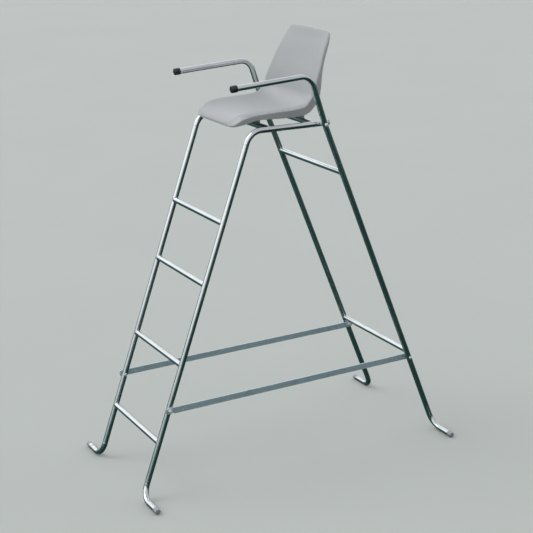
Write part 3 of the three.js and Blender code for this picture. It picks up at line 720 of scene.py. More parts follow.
def shell_material():
    k = Nodes("moulded_shell")
    grain = k.voronoi(820.0, feature="SMOOTH_F1")                               # moulded-in leather grain, about 1.2 mm
    fine = k.noise(1900.0, 3, 0.6)
    flow = k.noise(5.5, 4, 0.55, k.scaled(k.obj, (1.0, 0.45, 1.0)), 0.3)
    cloud = k.noise(17.0, 5, 0.6)
    wear = k.wear()
    rub = k.math("MULTIPLY", wear, k.map(k.noise(42.0, 5, 0.65), 0.36, 0.62, 0.2, 1.0, True))
    scr = k.map(k.noise(1.0, 3, 0.6, k.scaled(k.obj, (34.0, 160.0, 60.0)), 1.1), 0.70, 0.755, 0.0, 1.0, True)
    scr2 = k.map(k.noise(1.0, 3, 0.6, k.scaled(k.obj, (190.0, 26.0, 60.0)), 0.9), 0.715, 0.765, 0.0, 1.0, True)
    dirt = k.map(k.noise(70.0, 6, 0.75), 0.58, 0.74, 0.0, 1.0, True)
    base = k.mix(k.map(flow, 0.3, 0.7, 0.0, 1.0), (0.345, 0.350, 0.354), (0.388, 0.391, 0.394))
    base = k.mix(k.map(cloud, 0.35, 0.7, 0.0, 0.5), base, (0.356, 0.356, 0.352))
    base = k.mix(k.math("MULTIPLY", k.map(grain, 0.0, 0.6, 0.0, 1.0), 0.16), base, (0.44, 0.45, 0.46))
    # rub follows the wear attribute, which peaks on the shell's rolled rim and free edge: this lightening is edge wear
    # and also a painted rim highlight
    base = k.mix(k.math("MULTIPLY", rub, 0.62), base, (0.56, 0.575, 0.595))
    base = k.mix(k.math("MULTIPLY", k.math("MAXIMUM", scr, scr2), 0.30), base, (0.60, 0.61, 0.62))
    base = k.mix(k.math("MULTIPLY", dirt, 0.14), base, (0.27, 0.27, 0.24))
    rough = k.math("ADD", k.map(flow, 0.3, 0.7, 0.36, 0.46), k.math("MULTIPLY", grain, 0.10))
    rough = k.math("ADD", rough, k.math("MULTIPLY", dirt, 0.12))
    rough = k.math("SUBTRACT", rough, k.math("MULTIPLY", rub, 0.08))
    nrm = k.bump(grain, 0.20, 0.00022)
    nrm = k.bump(fine, 0.08, 0.0001, nrm)
    nrm = k.bump(k.noise(14.0, 2, 0.5), 0.10, 0.0022, nrm)                      # sink and flow in the moulding
    nrm = k.bump(k.math("MAXIMUM", scr, scr2), 0.12, 0.0001, nrm)
    return k.finish(base, rough, nrm, 0.0)


LADDER = tube_material("plated_tube_ladder", (0.79, 0.80, 0.805), (0.62, 0.64, 0.65))
REAR = tube_material("plated_tube_rear", (0.78, 0.80, 0.805), (0.63, 0.66, 0.67))
WELD = weld_material()
BAR = bar_material()
ZINC = zinc_material()
BLACK = cap_material("black_cap", (0.010, 0.011, 0.012), (0.020, 0.021, 0.023), (0.075, 0.077, 0.080))
BLACK_PLUG = cap_material("black_plug", (0.012, 0.013, 0.014), (0.026, 0.027, 0.029), (0.085, 0.087, 0.090))
FOOT_GREY = cap_material("grey_foot_cap", (0.215, 0.235, 0.270), (0.300, 0.320, 0.355), (0.47, 0.49, 0.52), dirt=0.75)
SHELL = shell_material()

# ---- ladder frame --------------------------------------------------------------
front_tube = bent_tube([(FRONT_FOOT_END, -FOOT_Y, R), (FRONT_X, -FOOT_Y, R), (FRONT_X, *CORNER), (FRONT_X, RAIL_END_Y, rail_z(RAIL_END_Y))], [FOOT_BEND, TOP_BEND])
pair("front_leg", front_tube, LADDER, "ladder_tube")

stile_dir = unit(np.array([stile_y(0) - stile_y(1), -1.0]))
for i, z in enumerate(RUNG_Z):
    y = stile_y(z)
    piece(f"rung_{i + 1}.fine", [cross_tube(y, z, FRONT_X, stile_dir), bead(y, z, FRONT_X, stile_dir, 1, 10 + i), bead(y, z, FRONT_X, stile_dir, -1, 20 + i)],
          [LADDER, WELD], [f"rung_{i + 1}"], slot="ladder_tube")
rail_dir = unit(np.array([1.0, rail_z(1) - rail_z(0)]))
for i, (n, y) in enumerate(zip(("front", "rear"), SEAT_TUBE_Y)):
    z = rail_z(y)
    piece(f"seat_tube_{n}.fine", [cross_tube(y, z, FRONT_X, rail_dir), bead(y, z, FRONT_X, rail_dir, 1, 30 + i), bead(y, z, FRONT_X, rail_dir, -1, 40 + i)],
          [LADDER, WELD], [f"seat_tube_{n}"], slot="ladder_tube")

# ---- rear frame ------------------------------------------------------------------
rear_tube = bent_tube([(REAR_FOOT_END, FOOT_Y, R), (REAR_X, FOOT_Y, R), (REAR_X, *PIVOT), (REAR_X, *ARM_CORNER), (REAR_X, *ARM_END)], [FOOT_BEND, 420.0, ARM_BEND])
pair("rear_leg", rear_tube, REAR, "rear_tube")
leg_dir = unit(np.array([leg_y(0) - leg_y(1), -1.0]))
for i, (n, z) in enumerate(zip(("upper", "lower"), CROSSBAR_Z)):
    y = leg_y(z)
    piece(f"rear_crossbar_{n}.fine", [cross_tube(y, z, REAR_X, leg_dir), bead(y, z, REAR_X, leg_dir, 1, 50 + i), bead(y, z, REAR_X, leg_dir, -1, 60 + i)],
          [REAR, WELD], [f"rear_crossbar_{n}"], slot="rear_tube")

# ---- caps and plugs ----------------------------------------------------------------
ro, ri = R - 0.2, R - WALL - GAP


def plug_profile(collar):
    p = [(-14, 0), (-14, ri - 1.6), (-13.2, ri - 0.9), (-10.6, ri - 0.1), (-10.2, ri - 0.8), (-7.4, ri - 0.1), (-7.0, ri - 0.8), (-4.2, ri - 0.1), (-3.8, ri - 0.8), (-0.4, ri - 0.8), (GAP, ri - 0.6)]
    p += [(GAP, ro - 0.5), (GAP + 0.35, ro)]
    w = [0] * len(p)
    p[-1:] = fillet((GAP + 0.5, ro - 0.5), 0.5, 180 - 20, 90, 3)[0:]
    w = [0] * len(p)
    tip = collar + 1.0
    if collar > 10:                                          # a moulded bead where the collar meets the steel, then a plain barrel
        p += [(2.4, ro), (2.7, ro - 0.35), (3.1, ro - 0.35), (3.4, ro)]
        w += [0.4, 0.2, 0.2, 0.4]
    p += fillet((tip - 2.4, ro - 2.4), 2.4, 90, 12, 7)
    w += [0.25, 0.5, 0.8, 1.0, 1.0, 0.8, 0.5, 0.3]
    p += [(tip + 0.02, ro * 0.55), (tip + 0.1, 0.3 * ro), (tip - 0.25, 0.24 * ro), (tip - 0.3, 0)]   # the gate mark in the middle
    w += [0.1, 0.15, 0.1, 0]
    return p, w


for node, end, y, collar, mat, slot in (("front_foot_cap", FRONT_FOOT_END, -FOOT_Y, COLLAR, FOOT_GREY, "foot_cap"),
                                        ("rear_foot_cap", REAR_FOOT_END, FOOT_Y, COLLAR, FOOT_GREY, "foot_cap")):
    prof, wear = plug_profile(collar)
    pair(node, turned(prof, on_axis((end, y, R), (1, 0, 0)), 48, wear=wear), mat, slot)
prof, wear = plug_profile(2.4)
rail_axis = (0.0, PIVOT[0] - CORNER[0], PIVOT[1] - CORNER[1])
pair("rail_plug", turned(prof, on_axis((FRONT_X, RAIL_END_Y, rail_z(RAIL_END_Y)), rail_axis), 48, wear=wear), BLACK_PLUG, "end_plug")

bore = R / math.cos(math.pi / 16) + GAP
cap_r = bore + 1.9
cap = [(GAP, 0), (GAP, bore - 0.1), (-21.2, bore - 0.1), (-21.9, bore + 0.35)]
cap_w = [0, 0, 0, 0.3]
cap += fillet((-21.1, cap_r - 0.9), 0.9, 170, 90, 4)
cap_w += [0.7, 1, 1, 0.8, 0.4]
cap += [(-19.4, cap_r), (-19.1, cap_r - 0.3), (-18.5, cap_r - 0.3), (-18.2, cap_r), (-10, cap_r + 0.05)]
cap_w += [0.2, 0.1, 0.1, 0.3, 0.1]
cap += fillet((3.9 - 3.6, cap_r - 3.6), 3.6, 90, 8, 9)
cap_w += [0.15, 0.3, 0.5, 0.8, 1, 1, 0.9, 0.6, 0.4, 0.2]
cap += [(3.95, cap_r * 0.5), (4.0, cap_r * 0.16), (3.7, cap_r * 0.12), (3.65, 0)]
cap_w += [0.1, 0.1, 0, 0]
arm_axis = (0.0, ARM_END[0] - ARM_CORNER[0], ARM_END[1] - ARM_CORNER[1])
pair("arm_cap", turned(cap, on_axis((REAR_X, *ARM_END), arm_axis), 56, wear=cap_w), BLACK, "arm_cap")

# ---- bolts, nuts, washers, rivets ------------------------------------------------------
py, pz = PIVOT
F_OUT, F_IN, R_OUT, R_IN = FRONT_X + R, FRONT_X - R, REAR_X + R, REAR_X - R
pair("pivot_bolt", dome_bolt(on_x(R_OUT + GAP, py, pz, -1), 9.0, 6.4, 4.95, R_OUT + GAP - (F_IN - 11), 16, 1.5), ZINC, "fastener", sharp=30)
sp = [(0, 5.2), (0, 9.9)] + fillet((0.6, 9.9), 0.6, 180, 90, 3)[1:] + fillet((5.8, 9.9), 0.6, 90, 0, 3) + [(6.4, 5.2)]
spacer = [place_ring for place_ring in (on_x(F_OUT + GAP, py, pz)(a, np.full(48, r), np.linspace(0, 2 * math.pi, 48, endpoint=False)) for a, r in sp)]
pair("pivot_spacer", loft(spacer, closed=True, wear=[0, 0.2, 0.8, 1, 0.8, 0.8, 1, 0.8, 0.2, 0][:len(sp)] if len(sp) <= 10 else None), ZINC, "fastener")
pair("pivot_nut", hex_nut(on_x(F_IN - GAP, py, pz, -1), 17, 8, 5.1), ZINC, "fastener", sharp=30)
rz = rail_z(RAIL_RIVET_Y) + 3
rivet = [(-6, 0), (-6, 2.3), (-5.6, 2.6), (0.2, 2.6), (0.2, 4.4)] + [(0.35, 4.75), (0.9, 4.75), (1.7, 4.5), (2.4, 4.0), (2.75, 3.4), (2.7, 2.95), (2.3, 2.65), (-1.5, 2.35), (-3.0, 2.2), (-3.2, 0)]
pair("rail_rivet", turned(rivet, on_x(F_OUT + 0.1, RAIL_RIVET_Y, rz), 36, wear=[0] * 5 + [0.6, 0.9, 0.6, 0.5, 0.8, 1, 0.5, 0, 0, 0]), ZINC, "fastener")

# ---- side braces ---------------------------------------------------------------------------
(ay, az), (by, bz) = BRACE_A, BRACE_B
L = math.hypot(by - ay, bz - az)
cy, cz = (by - ay) / L, (bz - az) / L


def bar_point(v):
    u, w, d = v[:, 0], v[:, 1], v[:, 2]
    return np.stack([BRACE_X0 + d, ay + cy * u - cz * w, az + cz * u + cy * w], axis=1)


def arc(c, r, a0, a1, n=8):
    a = np.radians(np.linspace(a0, a1, n + 1))
    return [(c[0] + r * math.cos(t), c[1] + r * math.sin(t)) for t in a]


h, cr, e = BRACE_H / 2, 7.0, OVERHANG
ha = math.radians(HOOK_ANGLE)
hc, hn, hq = math.cos(ha), math.sin(ha), 4.8
t1, t2 = (h - hq * hc) / hn, (h + hq * hc) / hn
out = [(L + e - cr, -h)] + arc((L + e - cr, -h + cr), cr, -90, 0)[1:] + arc((L + e - cr, h - cr), cr, 0, 90)
out += [(L * k / 8, h) for k in range(7, 0, -1)]
out += arc((-e + cr, h - cr), cr, 90, 180) + arc((-e + cr, -h + cr), cr, 180, 270)
out += [(-hq * hn + t1 * hc, -h)]
out += arc((0, 0), hq, -HOOK_ANGLE - 90, -HOOK_ANGLE - 270, 12)
out += [(hq * hn + t2 * hc, -h)]
out += [(L * k / 8, -h) for k in range(1, 8)]
bar = plate([out, circle((L, 0), 4.4, 28), circle((RIVET_IN, -RIVET_DROP), 2.7, 20), circle((L - RIVET_IN, -RIVET_DROP), 2.7, 20)], BRACE_T, 0.9, bar_point)
pair("brace", bar, BAR, "brace_bar", sharp=50)

BX0, BX1 = BRACE_X0, BRACE_X0 + BRACE_T
for n, u in (("front", RIVET_IN), ("rear", L - RIVET_IN)):
    y, z = ay + cy * u + cz * RIVET_DROP, az + cz * u - cy * RIVET_DROP
    w = BRACE_T + 0.4
    dome = [(w - 0.2, 2.4), (w - 0.2, 4.0), (w, 4.35), (w + 0.25, 4.3), (w + 0.8, 3.7), (w + 1.3, 2.5), (w + 1.55, 1.3), (w + 1.6, 0)]
    foot = [(-1.85, 0), (-1.8, 1.6), (-1.6, 2.4), (-1.1, 3.7), (-0.45, 4.3), (-0.25, 4.1), (-0.2, 2.4)]
    pair(f"brace_rivet_{n}", turned(foot + dome, on_x(BX0, y, z), 36, wear=[0.6, 0.8, 0.5, 0.4, 0.8, 0.2, 0, 0, 0.2, 0.9, 0.6, 0.4, 0.5, 0.8, 0.9]), ZINC, "fastener")
pair("brace_bolt_front", hex_bolt(on_x(F_IN - GAP, ay, az, 1), 13, 5.4, 0, 3.95, BX1 + 11.2 - F_IN + GAP, 14, 1.25, 0.5), ZINC, "fastener", sharp=30)
pair("brace_washer_front", ring_plate(BX1 + GAP, BX1 + GAP + 1.6, ay, az, 12, 4.3), ZINC, "fastener")
pair("brace_nut_front", hex_nut(on_x(BX1 + 2.2, ay, az, 1), 13, 6.5, 4.1, 0.42), ZINC, "fastener", sharp=30)
pair("brace_bolt_rear", dome_bolt(on_x(R_OUT + GAP, by, bz, -1), 7.0, 5.4, 3.95, R_OUT + GAP - (BX0 - 10.4), 14, 1.25), ZINC, "fastener", sharp=30)
pair("brace_washer_rear", ring_plate(BX0 - GAP - 1.6, BX0 - GAP, by, bz, 12, 4.3), ZINC, "fastener")
pair("brace_nut_rear", hex_nut(on_x(BX0 - 2.2, by, bz, -1), 13, 6.5, 4.1, 0.25), ZINC, "fastener", sharp=30)

# ---- moulded shell ----------------------------------------------------------------------------
# along the middle of the face, from the front edge over the pan and up the back:
# y, z, half width to the outer side, rise of the edge above the middle, depth of the return
FACE = np.array([
    (-241, 1571.5, 131, 2, 11), (-238.5, 1577.5, 147, 3, 17), (-230.5, 1586.5, 165, 5, 28), (-214, 1595.5, 186, 12, 38), (-188, 1601, 201, 19, 41),
    (-140, 1601, 209, 25, 38), (-70, 1599, 213, 28, 41), (0, 1597, 215, 30, 43), (50, 1598, 216, 31, 46), (95, 1605, 217, 33, 50),
    (128, 1622, 217, 38, 52), (150, 1652, 216, 36, 48), (158, 1690, 214, 30, 42), (168, 1730, 209, 24, 30), (181.5, 1773, 202, 20, 22),
    (197, 1816, 192.5, 17, 20), (212.5, 1856.5, 183.5, 13, 19), (228, 1891, 176, 9.5, 15), (235, 1909.5, 172, 7, 11), (239.5, 1921, 165.5, 5, 10), (241.5, 1926, 153, 4, 10)])
THICK = 4.6


def edge_at(s):
    """radius that the rim is rolled to: wide round the pan, tight up the back"""
    s = np.asarray(s, float)
    k = np.clip((s - 350) / 160, 0, 1)
    k = k * k * (3 - 2 * k)
    b = np.interp(s, [0, 30, 60, 90, 130, 180, 240], [0.3, 0.6, 0.95, 1.0, 0.75, 0.3, 0.0])
    return 26.0 * (1 - k) + 9.5 * k + 12.0 * b


def curve_through(rows, t):
    """Catmull-Rom through rows at t in 0..len-1"""
    rows = np.asarray(rows, float)
    n = len(rows) - 1
    t = np.clip(np.asarray(t, float), 0, n)
    i = np.minimum(t.astype(int), n - 1)
    f = (t - i)[..., None]
    g = lambda k: rows[np.clip(k, 0, n)]
    first = 2 * rows[0] - rows[1]
    lastp = 2 * rows[n] - rows[n - 1]
    p0 = np.where((i == 0)[..., None], first, g(i - 1))
    p3 = np.where((i == n - 1)[..., None], lastp, g(i + 2))
    p1, p2 = g(i), g(i + 1)
    return 0.5 * (2 * p1 + (p2 - p0) * f + (2 * p0 - 5 * p1 + 4 * p2 - p3) * f**2 + (3 * p1 - p0 - 3 * p2 + p3) * f**3)


dense = curve_through(FACE, np.linspace(0, len(FACE) - 1, 1200))
arc_s = np.concatenate([[0], np.cumsum(np.hypot(np.diff(dense[:, 0]), np.diff(dense[:, 1])))])
S_END = arc_s[-1]
tan_d = unit(np.gradient(dense[:, :2], axis=0))


def face_at(s):
    s = np.asarray(s, float)
    cols = [np.interp(s, arc_s, dense[:, k]) for k in range(5)]
    t = unit(np.stack([np.interp(s, arc_s, tan_d[:, 0]), np.interp(s, arc_s, tan_d[:, 1])], axis=-1))
    over = np.minimum(s, 0) + np.maximum(s - S_END, 0)         # past the ends, straight on
    cols[0] = cols[0] + t[..., 0] * over
    cols[1] = cols[1] + t[..., 1] * over
    return cols, t


def face_point(x, s):
    (y, z, w, rise, depth), t = face_at(s)
    hgt = rise * np.abs(x / (w - edge_at(s))) ** 2.6
    return np.stack([x, y - t[..., 1] * hgt, z + t[..., 0] * hgt], axis=-1)


# outline of the face in (x, s), right half from the middle of the front round to the middle of the top
def half_outline():
    pts = []
    w0, w1 = FACE[0][2] - edge_at(0), FACE[-1][2] - edge_at(S_END)
    for x in np.linspace(0, w0, 12)[:-1]:
        pts.append((x, 0.0))
    for t in np.linspace(0, S_END, 120):
        pts.append((np.interp(t, arc_s, dense[:, 2]) - edge_at(t), t))
    for x in np.linspace(w1, 0, 14)[1:]:
        pts.append((x, S_END + 2.2 * (1 - (x / w1) ** 2)))
    return np.array(pts)


half = half_outline()
loop = np.concatenate([half, (half * (-1, 1))[::-1][1:-1]])
d = np.linalg.norm(np.diff(np.vstack([loop, loop[:1]]), axis=0), axis=1)
dist = np.concatenate([[0], np.cumsum(d)])
total = dist[-1]


def on_loop(t):
    t = np.mod(t, total)
    lx = np.append(loop[:, 0], loop[0, 0])
    ls = np.append(loop[:, 1], loop[0, 1])
    return np.stack([np.interp(t, dist, lx), np.interp(t, dist, ls)], axis=-1)


def smooth_loop(t, spread=7.0):
    return sum(on_loop(t + k * spread / 3) * w for k, w in ((-3, 1), (-2, 2), (-1, 3), (0, 4), (1, 3), (2, 2), (3, 1))) / 16


# the four corners of the quad grid sit in the middle of the outline's round corners
probe = np.linspace(0, total, 4000, endpoint=False)
pl = on_loop(probe)


def nearest(x, s):
    return probe[np.argmin(np.hypot(pl[:, 0] - x, pl[:, 1] - s))]


c_fr = nearest(150, 26)
c_tr = nearest(156, S_END - 8)
c_tl, c_fl = total - c_tr, total - c_fr
NI, NJ = 30, 56
bottom = smooth_loop(np.linspace(c_fl - total, c_fr, NI + 1))      # from left to right along the front
right = smooth_loop(np.linspace(c_fr, c_tr, NJ + 1))
top = smooth_loop(np.linspace(c_tl, c_tr, NI + 1))                 # from left to right along the top
left = smooth_loop(np.linspace(c_fl, c_tl, NJ + 1))
iu = np.linspace(0, 1, NI + 1)[:, None, None]
jv = np.linspace(0, 1, NJ + 1)[None, :, None]
grid = ((1 - jv) * bottom[:, None] + jv * top[:, None] + (1 - iu) * left[None] + iu * right[None]
        - (1 - iu) * (1 - jv) * bottom[0] - iu * (1 - jv) * bottom[-1] - (1 - iu) * jv * top[0] - iu * jv * top[-1])
gi = lambda i, j: i * (NJ + 1) + j
dom = grid.reshape(-1, 2)
verts = face_point(dom[:, 0], dom[:, 1])
faces = [(gi(i, j), gi(i + 1, j), gi(i + 1, j + 1), gi(i, j + 1)) for i in range(NI) for j in range(NJ)]
rim = [gi(i, 0) for i in range(NI)] + [gi(NI, j) for j in range(NJ)] + [gi(i, NJ) for i in range(NI, 0, -1)] + [gi(0, j) for j in range(NJ, 0, -1)]

# at each rim point: square to the rim in the face (o), the face's normal (n), and the way the return hangs (k)
rp, rd = verts[rim], dom[rim]
along = unit(np.roll(rp, -1, axis=0) - np.roll(rp, 1, axis=0))
ds = 0.5
Pu = face_point(rd[:, 0] + ds, rd[:, 1]) - face_point(rd[:, 0] - ds, rd[:, 1])
Pv = face_point(rd[:, 0], rd[:, 1] + ds) - face_point(rd[:, 0], rd[:, 1] - ds)
nrm = unit(np.cross(Pu, Pv))
outw = unit(np.cross(along, nrm))
(fy_, fz_, fw_, frise, fdepth), ftan = face_at(np.clip(rd[:, 1], 0, S_END))


def smooth_ring(a, n=2):
    for _ in range(n):
        a = (np.roll(a, 1, axis=0) + 2 * a + np.roll(a, -1, axis=0)) / 4
    return a


outw = unit(smooth_ring(outw, 2))
ER = edge_at(rd[:, 1])[:, None] * np.clip(0.30 + 0.70 * rd[:, 1] / 40, 0.30, 1.0)[:, None]
ER = smooth_ring(ER, 3)
back = np.stack([np.zeros(len(rd)), ftan[:, 1], -ftan[:, 0]], axis=1)     # square to the middle line, away from the sitter
side_end = rp + ER * outw * np.array([1.0, 1.0, 0.35]) + back * np.maximum(fdepth - THICK / 2, 6.0)[:, None]
# round the front the free edge runs almost level, and the lip only just turns under
low_z = np.interp(rd[:, 1], [0, 12, 25, 45, 76, 131], [1565.0, 1567.0, 1568.5, 1571.5, 1577, 1585])
front_end = rp + ER * outw * np.array([1.0, 1.0, 0.0]) + np.array([0.0, 4.0, 0.0]) * np.clip(1 - rd[:, 1] / 14, 0, 1)[:, None]
front_end[:, 2] = low_z
mk = np.clip((rd[:, 1] - 40) / 80, 0, 1)
mk = (mk * mk * (3 - 2 * mk))[:, None]
ends = smooth_ring(front_end * (1 - mk) + side_end * mk, 3)
reach = ends - (rp + ER * outw)
flat_lip = np.clip(1 - rd[:, 1] / 10, 0, 1)[:, None]
reach = reach * (1 - flat_lip) + flat_lip * np.array([0.0, 4.0, -0.6])
reach = smooth_ring(reach, 2)
rlen = np.linalg.norm(reach, axis=1)
kdir = reach / rlen[:, None]
# the rim rounds over, slopes down to a tighter corner and then turns into the side
KN = math.radians(50)
corner = np.maximum(0.24 * ER, 5.2)
u1 = ER - (1 - math.sin(KN)) * corner
drop = 0.66 * ER
deep = drop + math.cos(KN) * corner
squash = np.minimum(1.0, 0.85 * rlen[:, None] / deep)
skirt = []
for t_ in (0.12, 0.27, 0.42, 0.57, 0.72, 0.87, 1.0):
    skirt.append(rp + u1 * t_ * outw + squash * drop * t_**1.5 * kdir)
for a in (60, 70, 80, 90):
    g = math.radians(a)
    skirt.append(rp + (u1 + corner * (math.sin(g) - math.sin(KN))) * outw + squash * (drop + corner * (math.cos(KN) - math.cos(g))) * kdir)
base_ring = skirt[-1]
for f_ in (0.08, 0.4, 0.72, 1.0):
    skirt.append(base_ring + kdir * (rlen[:, None] - squash * deep) * f_)
# the wear values on the skirt rings peak at the rim's corner; in the shell's finish they give edge wear and also a
# painted rim highlight
wear_top = np.zeros(len(verts))
m = len(rim)
allv = [verts]
rim_highlight_and_wear = [wear_top]
prev = list(rim)
count = len(verts)
for q, ringv in enumerate(skirt):
    allv.append(ringv)
    rim_highlight_and_wear.append(np.full(m, (0.05, 0.1, 0.15, 0.2, 0.3, 0.5, 0.8, 1.0, 1.0, 0.8, 0.5, 0.2, 0.05, 0.1, 0.5)[q]))
    cur = list(range(count, count + m))
    for i in range(m):
        j = (i + 1) % m
        faces.append((prev[j], prev[i], cur[i], cur[j]))
    prev = cur
    count += m
cage = np.concatenate(allv)
cage_rim_highlight_and_wear = np.concatenate(rim_highlight_and_wear)


def vertex_normals(v, f):
    n = np.zeros_like(v)
    for t in f:
        a, b, c, d_ = (v[i] for i in t)
        g = np.cross(c - a, d_ - b)
        for i in t:
            n[i] += g
    return unit(n)


vn = vertex_normals(cage, faces)
if vn[gi(NI // 2, NJ // 4)][2] < 0:
    faces = [t[::-1] for t in faces]
    vn = -vn
inner = cage - vn * THICK
nv = len(cage)
shell_f = list(faces) + [tuple(i + nv for i in t[::-1]) for t in faces]
# the free edge: half round, a touch thicker than the wall
lastr = prev
o_out, o_in = cage[lastr], inner[lastr]
mid = (o_out + o_in) / 2
side_v = (o_out - o_in) / 2
extra, ring_ids = [], [lastr]
cnt = nv * 2
for a in (45, 90, 135):
    g = math.radians(a)
    extra.append(mid + side_v * math.cos(g) * 1.06 + kdir * (THICK / 2 * 1.06 * math.sin(g)))
    ring_ids.append(list(range(cnt, cnt + m)))
    cnt += m
ring_ids.append([i + nv for i in lastr])
for a_, b_ in zip(ring_ids[:-1], ring_ids[1:]):
    for i in range(m):
        j = (i + 1) % m
        shell_f.append((a_[i], b_[i], b_[j], a_[j]))
shell_v = np.concatenate([cage, inner] + extra)
# the inside and the free edge take the same kind of values: edge wear and also a painted rim highlight
shell_rim_highlight_and_wear = np.concatenate([cage_rim_highlight_and_wear, cage_rim_highlight_and_wear * 0.2] + [np.full(m, x) for x in (0.9, 1.0, 0.6)])
shell = Part(shell_v, shell_f, None, shell_rim_highlight_and_wear)
# the free edge's faces turn the same way as their neighbours
edges = {}
for t in shell.f[: len(faces)]:
    for a_, b_ in zip(t, t[1:] + t[:1]):
        edges[(a_, b_)] = True
t = shell.f[2 * len(faces)]
if any((a_, b_) in edges for a_, b_ in zip(t, t[1:] + t[:1])):
    shell.f = shell.f[: 2 * len(faces)] + [q[::-1] for q in shell.f[2 * len(faces):]]


# four moulded bosses under the pan, saddled over the seat tubes, each with a flared root and two webs
def under_z(x, y):
    ss = np.linspace(40, 420, 400)
    P = face_point(np.full(400, float(x)), ss)
    i = int(np.argmin(np.abs(P[:, 1] - y)))
    return P[i, 2] - THICK


def boss(x, y):
    zt, sides = rail_z(y), 40
    ang = np.linspace(0, 2 * math.pi, sides, endpoint=False)
    rings = []
    ru = (3.4, 9.6, 11.2, 11.5)
    for r in ru:
        px, pyy = x + r * np.cos(ang), y + r * np.sin(ang)
        zz = zt + np.sqrt(np.maximum((R + GAP + 0.05) ** 2 - (pyy - y) ** 2, 0)) + (0.0 if r < 11.4 else 0.5)
        rings.append(np.stack([px, pyy, zz], axis=1))
    topz = np.array([under_z(x + 11.5 * math.cos(a), y + 11.5 * math.sin(a)) for a in ang])
    low = rings[-1][:, 2]
    for f_, dr in ((0.25, 0.1), (0.55, 0.3), (0.8, 0.9), (0.92, 2.0), (1.0, 3.8)):
        r = 11.5 + dr
        zz = low + (topz + (0.6 if f_ == 1.0 else 0.0) - low) * f_
        rings.append(np.stack([x + r * np.cos(ang), y + r * np.sin(ang), zz], axis=1))
    tz = topz + 1.6
    rings.append(np.stack([x + 11.0 * np.cos(ang), y + 11.0 * np.sin(ang), tz], axis=1))
    parts = [loft(rings, cap=(True, True))]
    for a in (0, 180):
        ca, sa = math.cos(math.radians(a)), math.sin(math.radians(a))
        prof = []
        for q in (10.5, 16.0, 24.0, 34.0):
            tx, ty = x + q * ca, y + q * sa
            if abs(tx) > 196:
                continue
            zu = under_z(tx, ty) + 0.8
            drop = max(2.2, 16.0 * (1 - (q - 10.5) / 26.0))
            prof.append((tx, ty, zu, zu - drop))
        rings2 = []
        for tx, ty, zu, zl in prof:
            px, qy = -sa * 1.3, ca * 1.3
            rings2.append(np.array([(tx + px, ty + qy, zu), (tx - px, ty - qy, zu), (tx - px * 0.7, ty - qy * 0.7, zl), (tx + px * 0.7, ty + qy * 0.7, zl)]))
        parts.append(loft(rings2))
    return parts


bosses = []
for y in SEAT_TUBE_Y:
    for sgn in (1, -1):
        for p in boss(BOSS_X, y):
            bosses.append(p if sgn > 0 else p.mirrored())
seat = piece("seat_shell.fine", [shell] + bosses, SHELL, ["seat_shell"], slot="shell", sharp=50)

for i, n in enumerate(("front", "rear")):
    y = SEAT_TUBE_Y[i]
    pair(f"seat_screw_{n}", hex_bolt(on_axis((BOSS_X, y, rail_z(y) - R - 0.35), (0, 0, 1)), 10, 4.8, 0, 2.85, 40, 16, 1.0, 0.2 + i), ZINC, "fastener", sharp=30)

# ---- stage ---------------------------------------------------------------------------------
def round_sheet(name, profile, material, n=96):
    ang = np.linspace(0, 2 * math.pi, n, endpoint=False)
    v, f = [], []
    for r, z in profile:
        v += [(r * math.cos(t), r * math.sin(t), z) for t in ang]
    for i in range(len(profile) - 1):
        for k in range(n):
            l = (k + 1) % n
            f.append((i * n + k, i * n + l, (i + 1) * n + l, (i + 1) * n + k))
    me = bpy.data.meshes.new(name)
    me.from_pydata(v, [], f)
    me.polygons.foreach_set("use_smooth", [True] * len(f))
    me.materials.append(material)
    o = bpy.data.objects.new(name, me)
    o.location.z = -0.0005
    bpy.context.scene.collection.objects.link(o)
    o.visible_glossy = False
    o.visible_diffuse = False
    return o


k = Nodes("studio_floor")
tone = k.mix(k.noise(0.8, 3, 0.5), (0.385, 0.404, 0.380), (0.408, 0.428, 0.402))
floor = round_sheet("floor", [(0.0002, 0), (2, 0), (6, 0), (14, 0), (30, 0)], k.finish(tone, 0.85))
k = Nodes("studio_backdrop")
tone = k.mix(k.noise(0.8, 3, 0.5), (0.385, 0.404, 0.380), (0.408, 0.428, 0.402))
wall = k.finish(tone, 0.9, Emission_Strength=1.0)
glow = k.mix(k.map(k.xyz(k.obj)[2], 0.0, 22.0, 0.0, 1.0, True), (0.0, 0.0, 0.0), (0.165, 0.174, 0.162))
k.link(glow, k.b.inputs["Emission Color"])
sweep = [(30 + 26 * math.sin(math.radians(t)), 26 * (1 - math.cos(math.radians(t)))) for t in range(0, 91, 5)] + [(56, 60)]
drop = round_sheet("backdrop", sweep, wall)
drop.visible_shadow = False

# an even bright ceiling and a dark surround below it; polished tube needs both to read as metal
world = bpy.data.worlds.new("studio")
bpy.context.scene.world = world
world.use_nodes = True
wt = world.node_tree
bg = wt.nodes["Background"]
bg.inputs[1].default_value = 1.0
wsep = wt.nodes.new("ShaderNodeSeparateXYZ")
wt.links.new(wt.nodes.new("ShaderNodeTexCoord").outputs["Generated"], wsep.inputs[0])
wramp = wt.nodes.new("ShaderNodeValToRGB")
wmap = wt.nodes.new("ShaderNodeMapRange")
wmap.inputs[1].default_value, wmap.inputs[2].default_value = -1.0, 1.0
wt.links.new(wsep.outputs[2], wmap.inputs[0])
wt.links.new(wmap.outputs[0], wramp.inputs[0])
wdot = wt.nodes.new("ShaderNodeVectorMath")
wdot.operation = "DOT_PRODUCT"
wt.links.new(wsep.inputs[0].links[0].from_socket, wdot.inputs[0])
wdot.inputs[1].default_value = (-0.58, -0.78, 0.24)
wside = wt.nodes.new("ShaderNodeMapRange")
wside.interpolation_type = "SMOOTHSTEP"
for i_, v_ in enumerate((-0.9, 0.8, 0.60, 1.28)):
    wside.inputs[1 + i_].default_value = v_
wt.links.new(wdot.outputs["Value"], wside.inputs[0])
wt.links.new(wside.outputs[0], bg.inputs[1])
wt.links.new(wramp.outputs[0], bg.inputs[0])
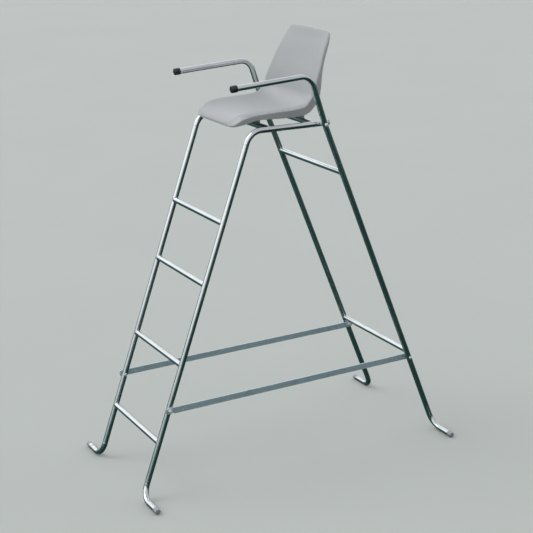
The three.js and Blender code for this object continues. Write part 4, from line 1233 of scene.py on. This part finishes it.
stops = [(0.0, (0.020, 0.050, 0.044)), (0.28, (0.024, 0.070, 0.064)), (0.43, (0.040, 0.095, 0.088)), (0.488, (0.090, 0.145, 0.138)),
         (0.522, (0.29, 0.34, 0.35)), (0.557, (0.70, 0.73, 0.75)), (0.605, (1.05, 1.07, 1.09)), (0.78, (0.98, 1.0, 1.03)), (1.0, (0.58, 0.61, 0.67))]
ramp = wramp.color_ramp
while len(ramp.elements) < len(stops):
    ramp.elements.new(0.5)
for el, (at_, col) in zip(ramp.elements, stops):
    el.position = at_
for el, (at_, col) in zip(ramp.elements, stops):
    el.color = (*col, 1.0)


def sun(name, direction, energy, angle, color):
    d_ = bpy.data.lights.new(name, "SUN")
    d_.energy, d_.angle, d_.color = energy, math.radians(angle), color
    o = bpy.data.objects.new(name, d_)
    o.rotation_mode = "QUATERNION"
    o.rotation_quaternion = Vector(direction).to_track_quat("-Z", "Y")
    bpy.context.scene.collection.objects.link(o)
    return o


sun("key", (0.40, 0.66, -0.85), 1.0, 38, (1.0, 0.985, 0.96))
sun("back_fill", (-0.05, -1.0, -0.22), 1.5, 75, (0.97, 0.99, 1.0)).visible_glossy = False

cam_d = bpy.data.cameras.new("camera")
cam = bpy.data.objects.new("camera", cam_d)
bpy.context.scene.collection.objects.link(cam)
bpy.context.scene.camera = cam
cam_d.sensor_width = 36.0
cam_d.lens = 1289.534 / 533.0 * 36.0
cam_d.clip_start, cam_d.clip_end = 0.05, 400
yaw, pitch, rollr = math.radians(61.03741), math.radians(-17.83778), math.radians(-0.97521)
fwd = Vector((-math.sin(yaw) * math.cos(pitch), math.cos(yaw) * math.cos(pitch), math.sin(pitch)))
rgt = fwd.cross(Vector((0, 0, 1))).normalized()
upv = rgt.cross(fwd)
r2 = math.cos(rollr) * rgt + math.sin(rollr) * upv
u2 = -math.sin(rollr) * rgt + math.cos(rollr) * upv
rot = Matrix((r2, u2, -fwd)).transposed().to_4x4()
cam.matrix_world = Matrix.Translation(Vector((4.886905, -2.702963, 2.665100))) @ rot

bpy.context.scene.view_settings.view_transform = "Standard"
bpy.context.scene.view_settings.look = "None"
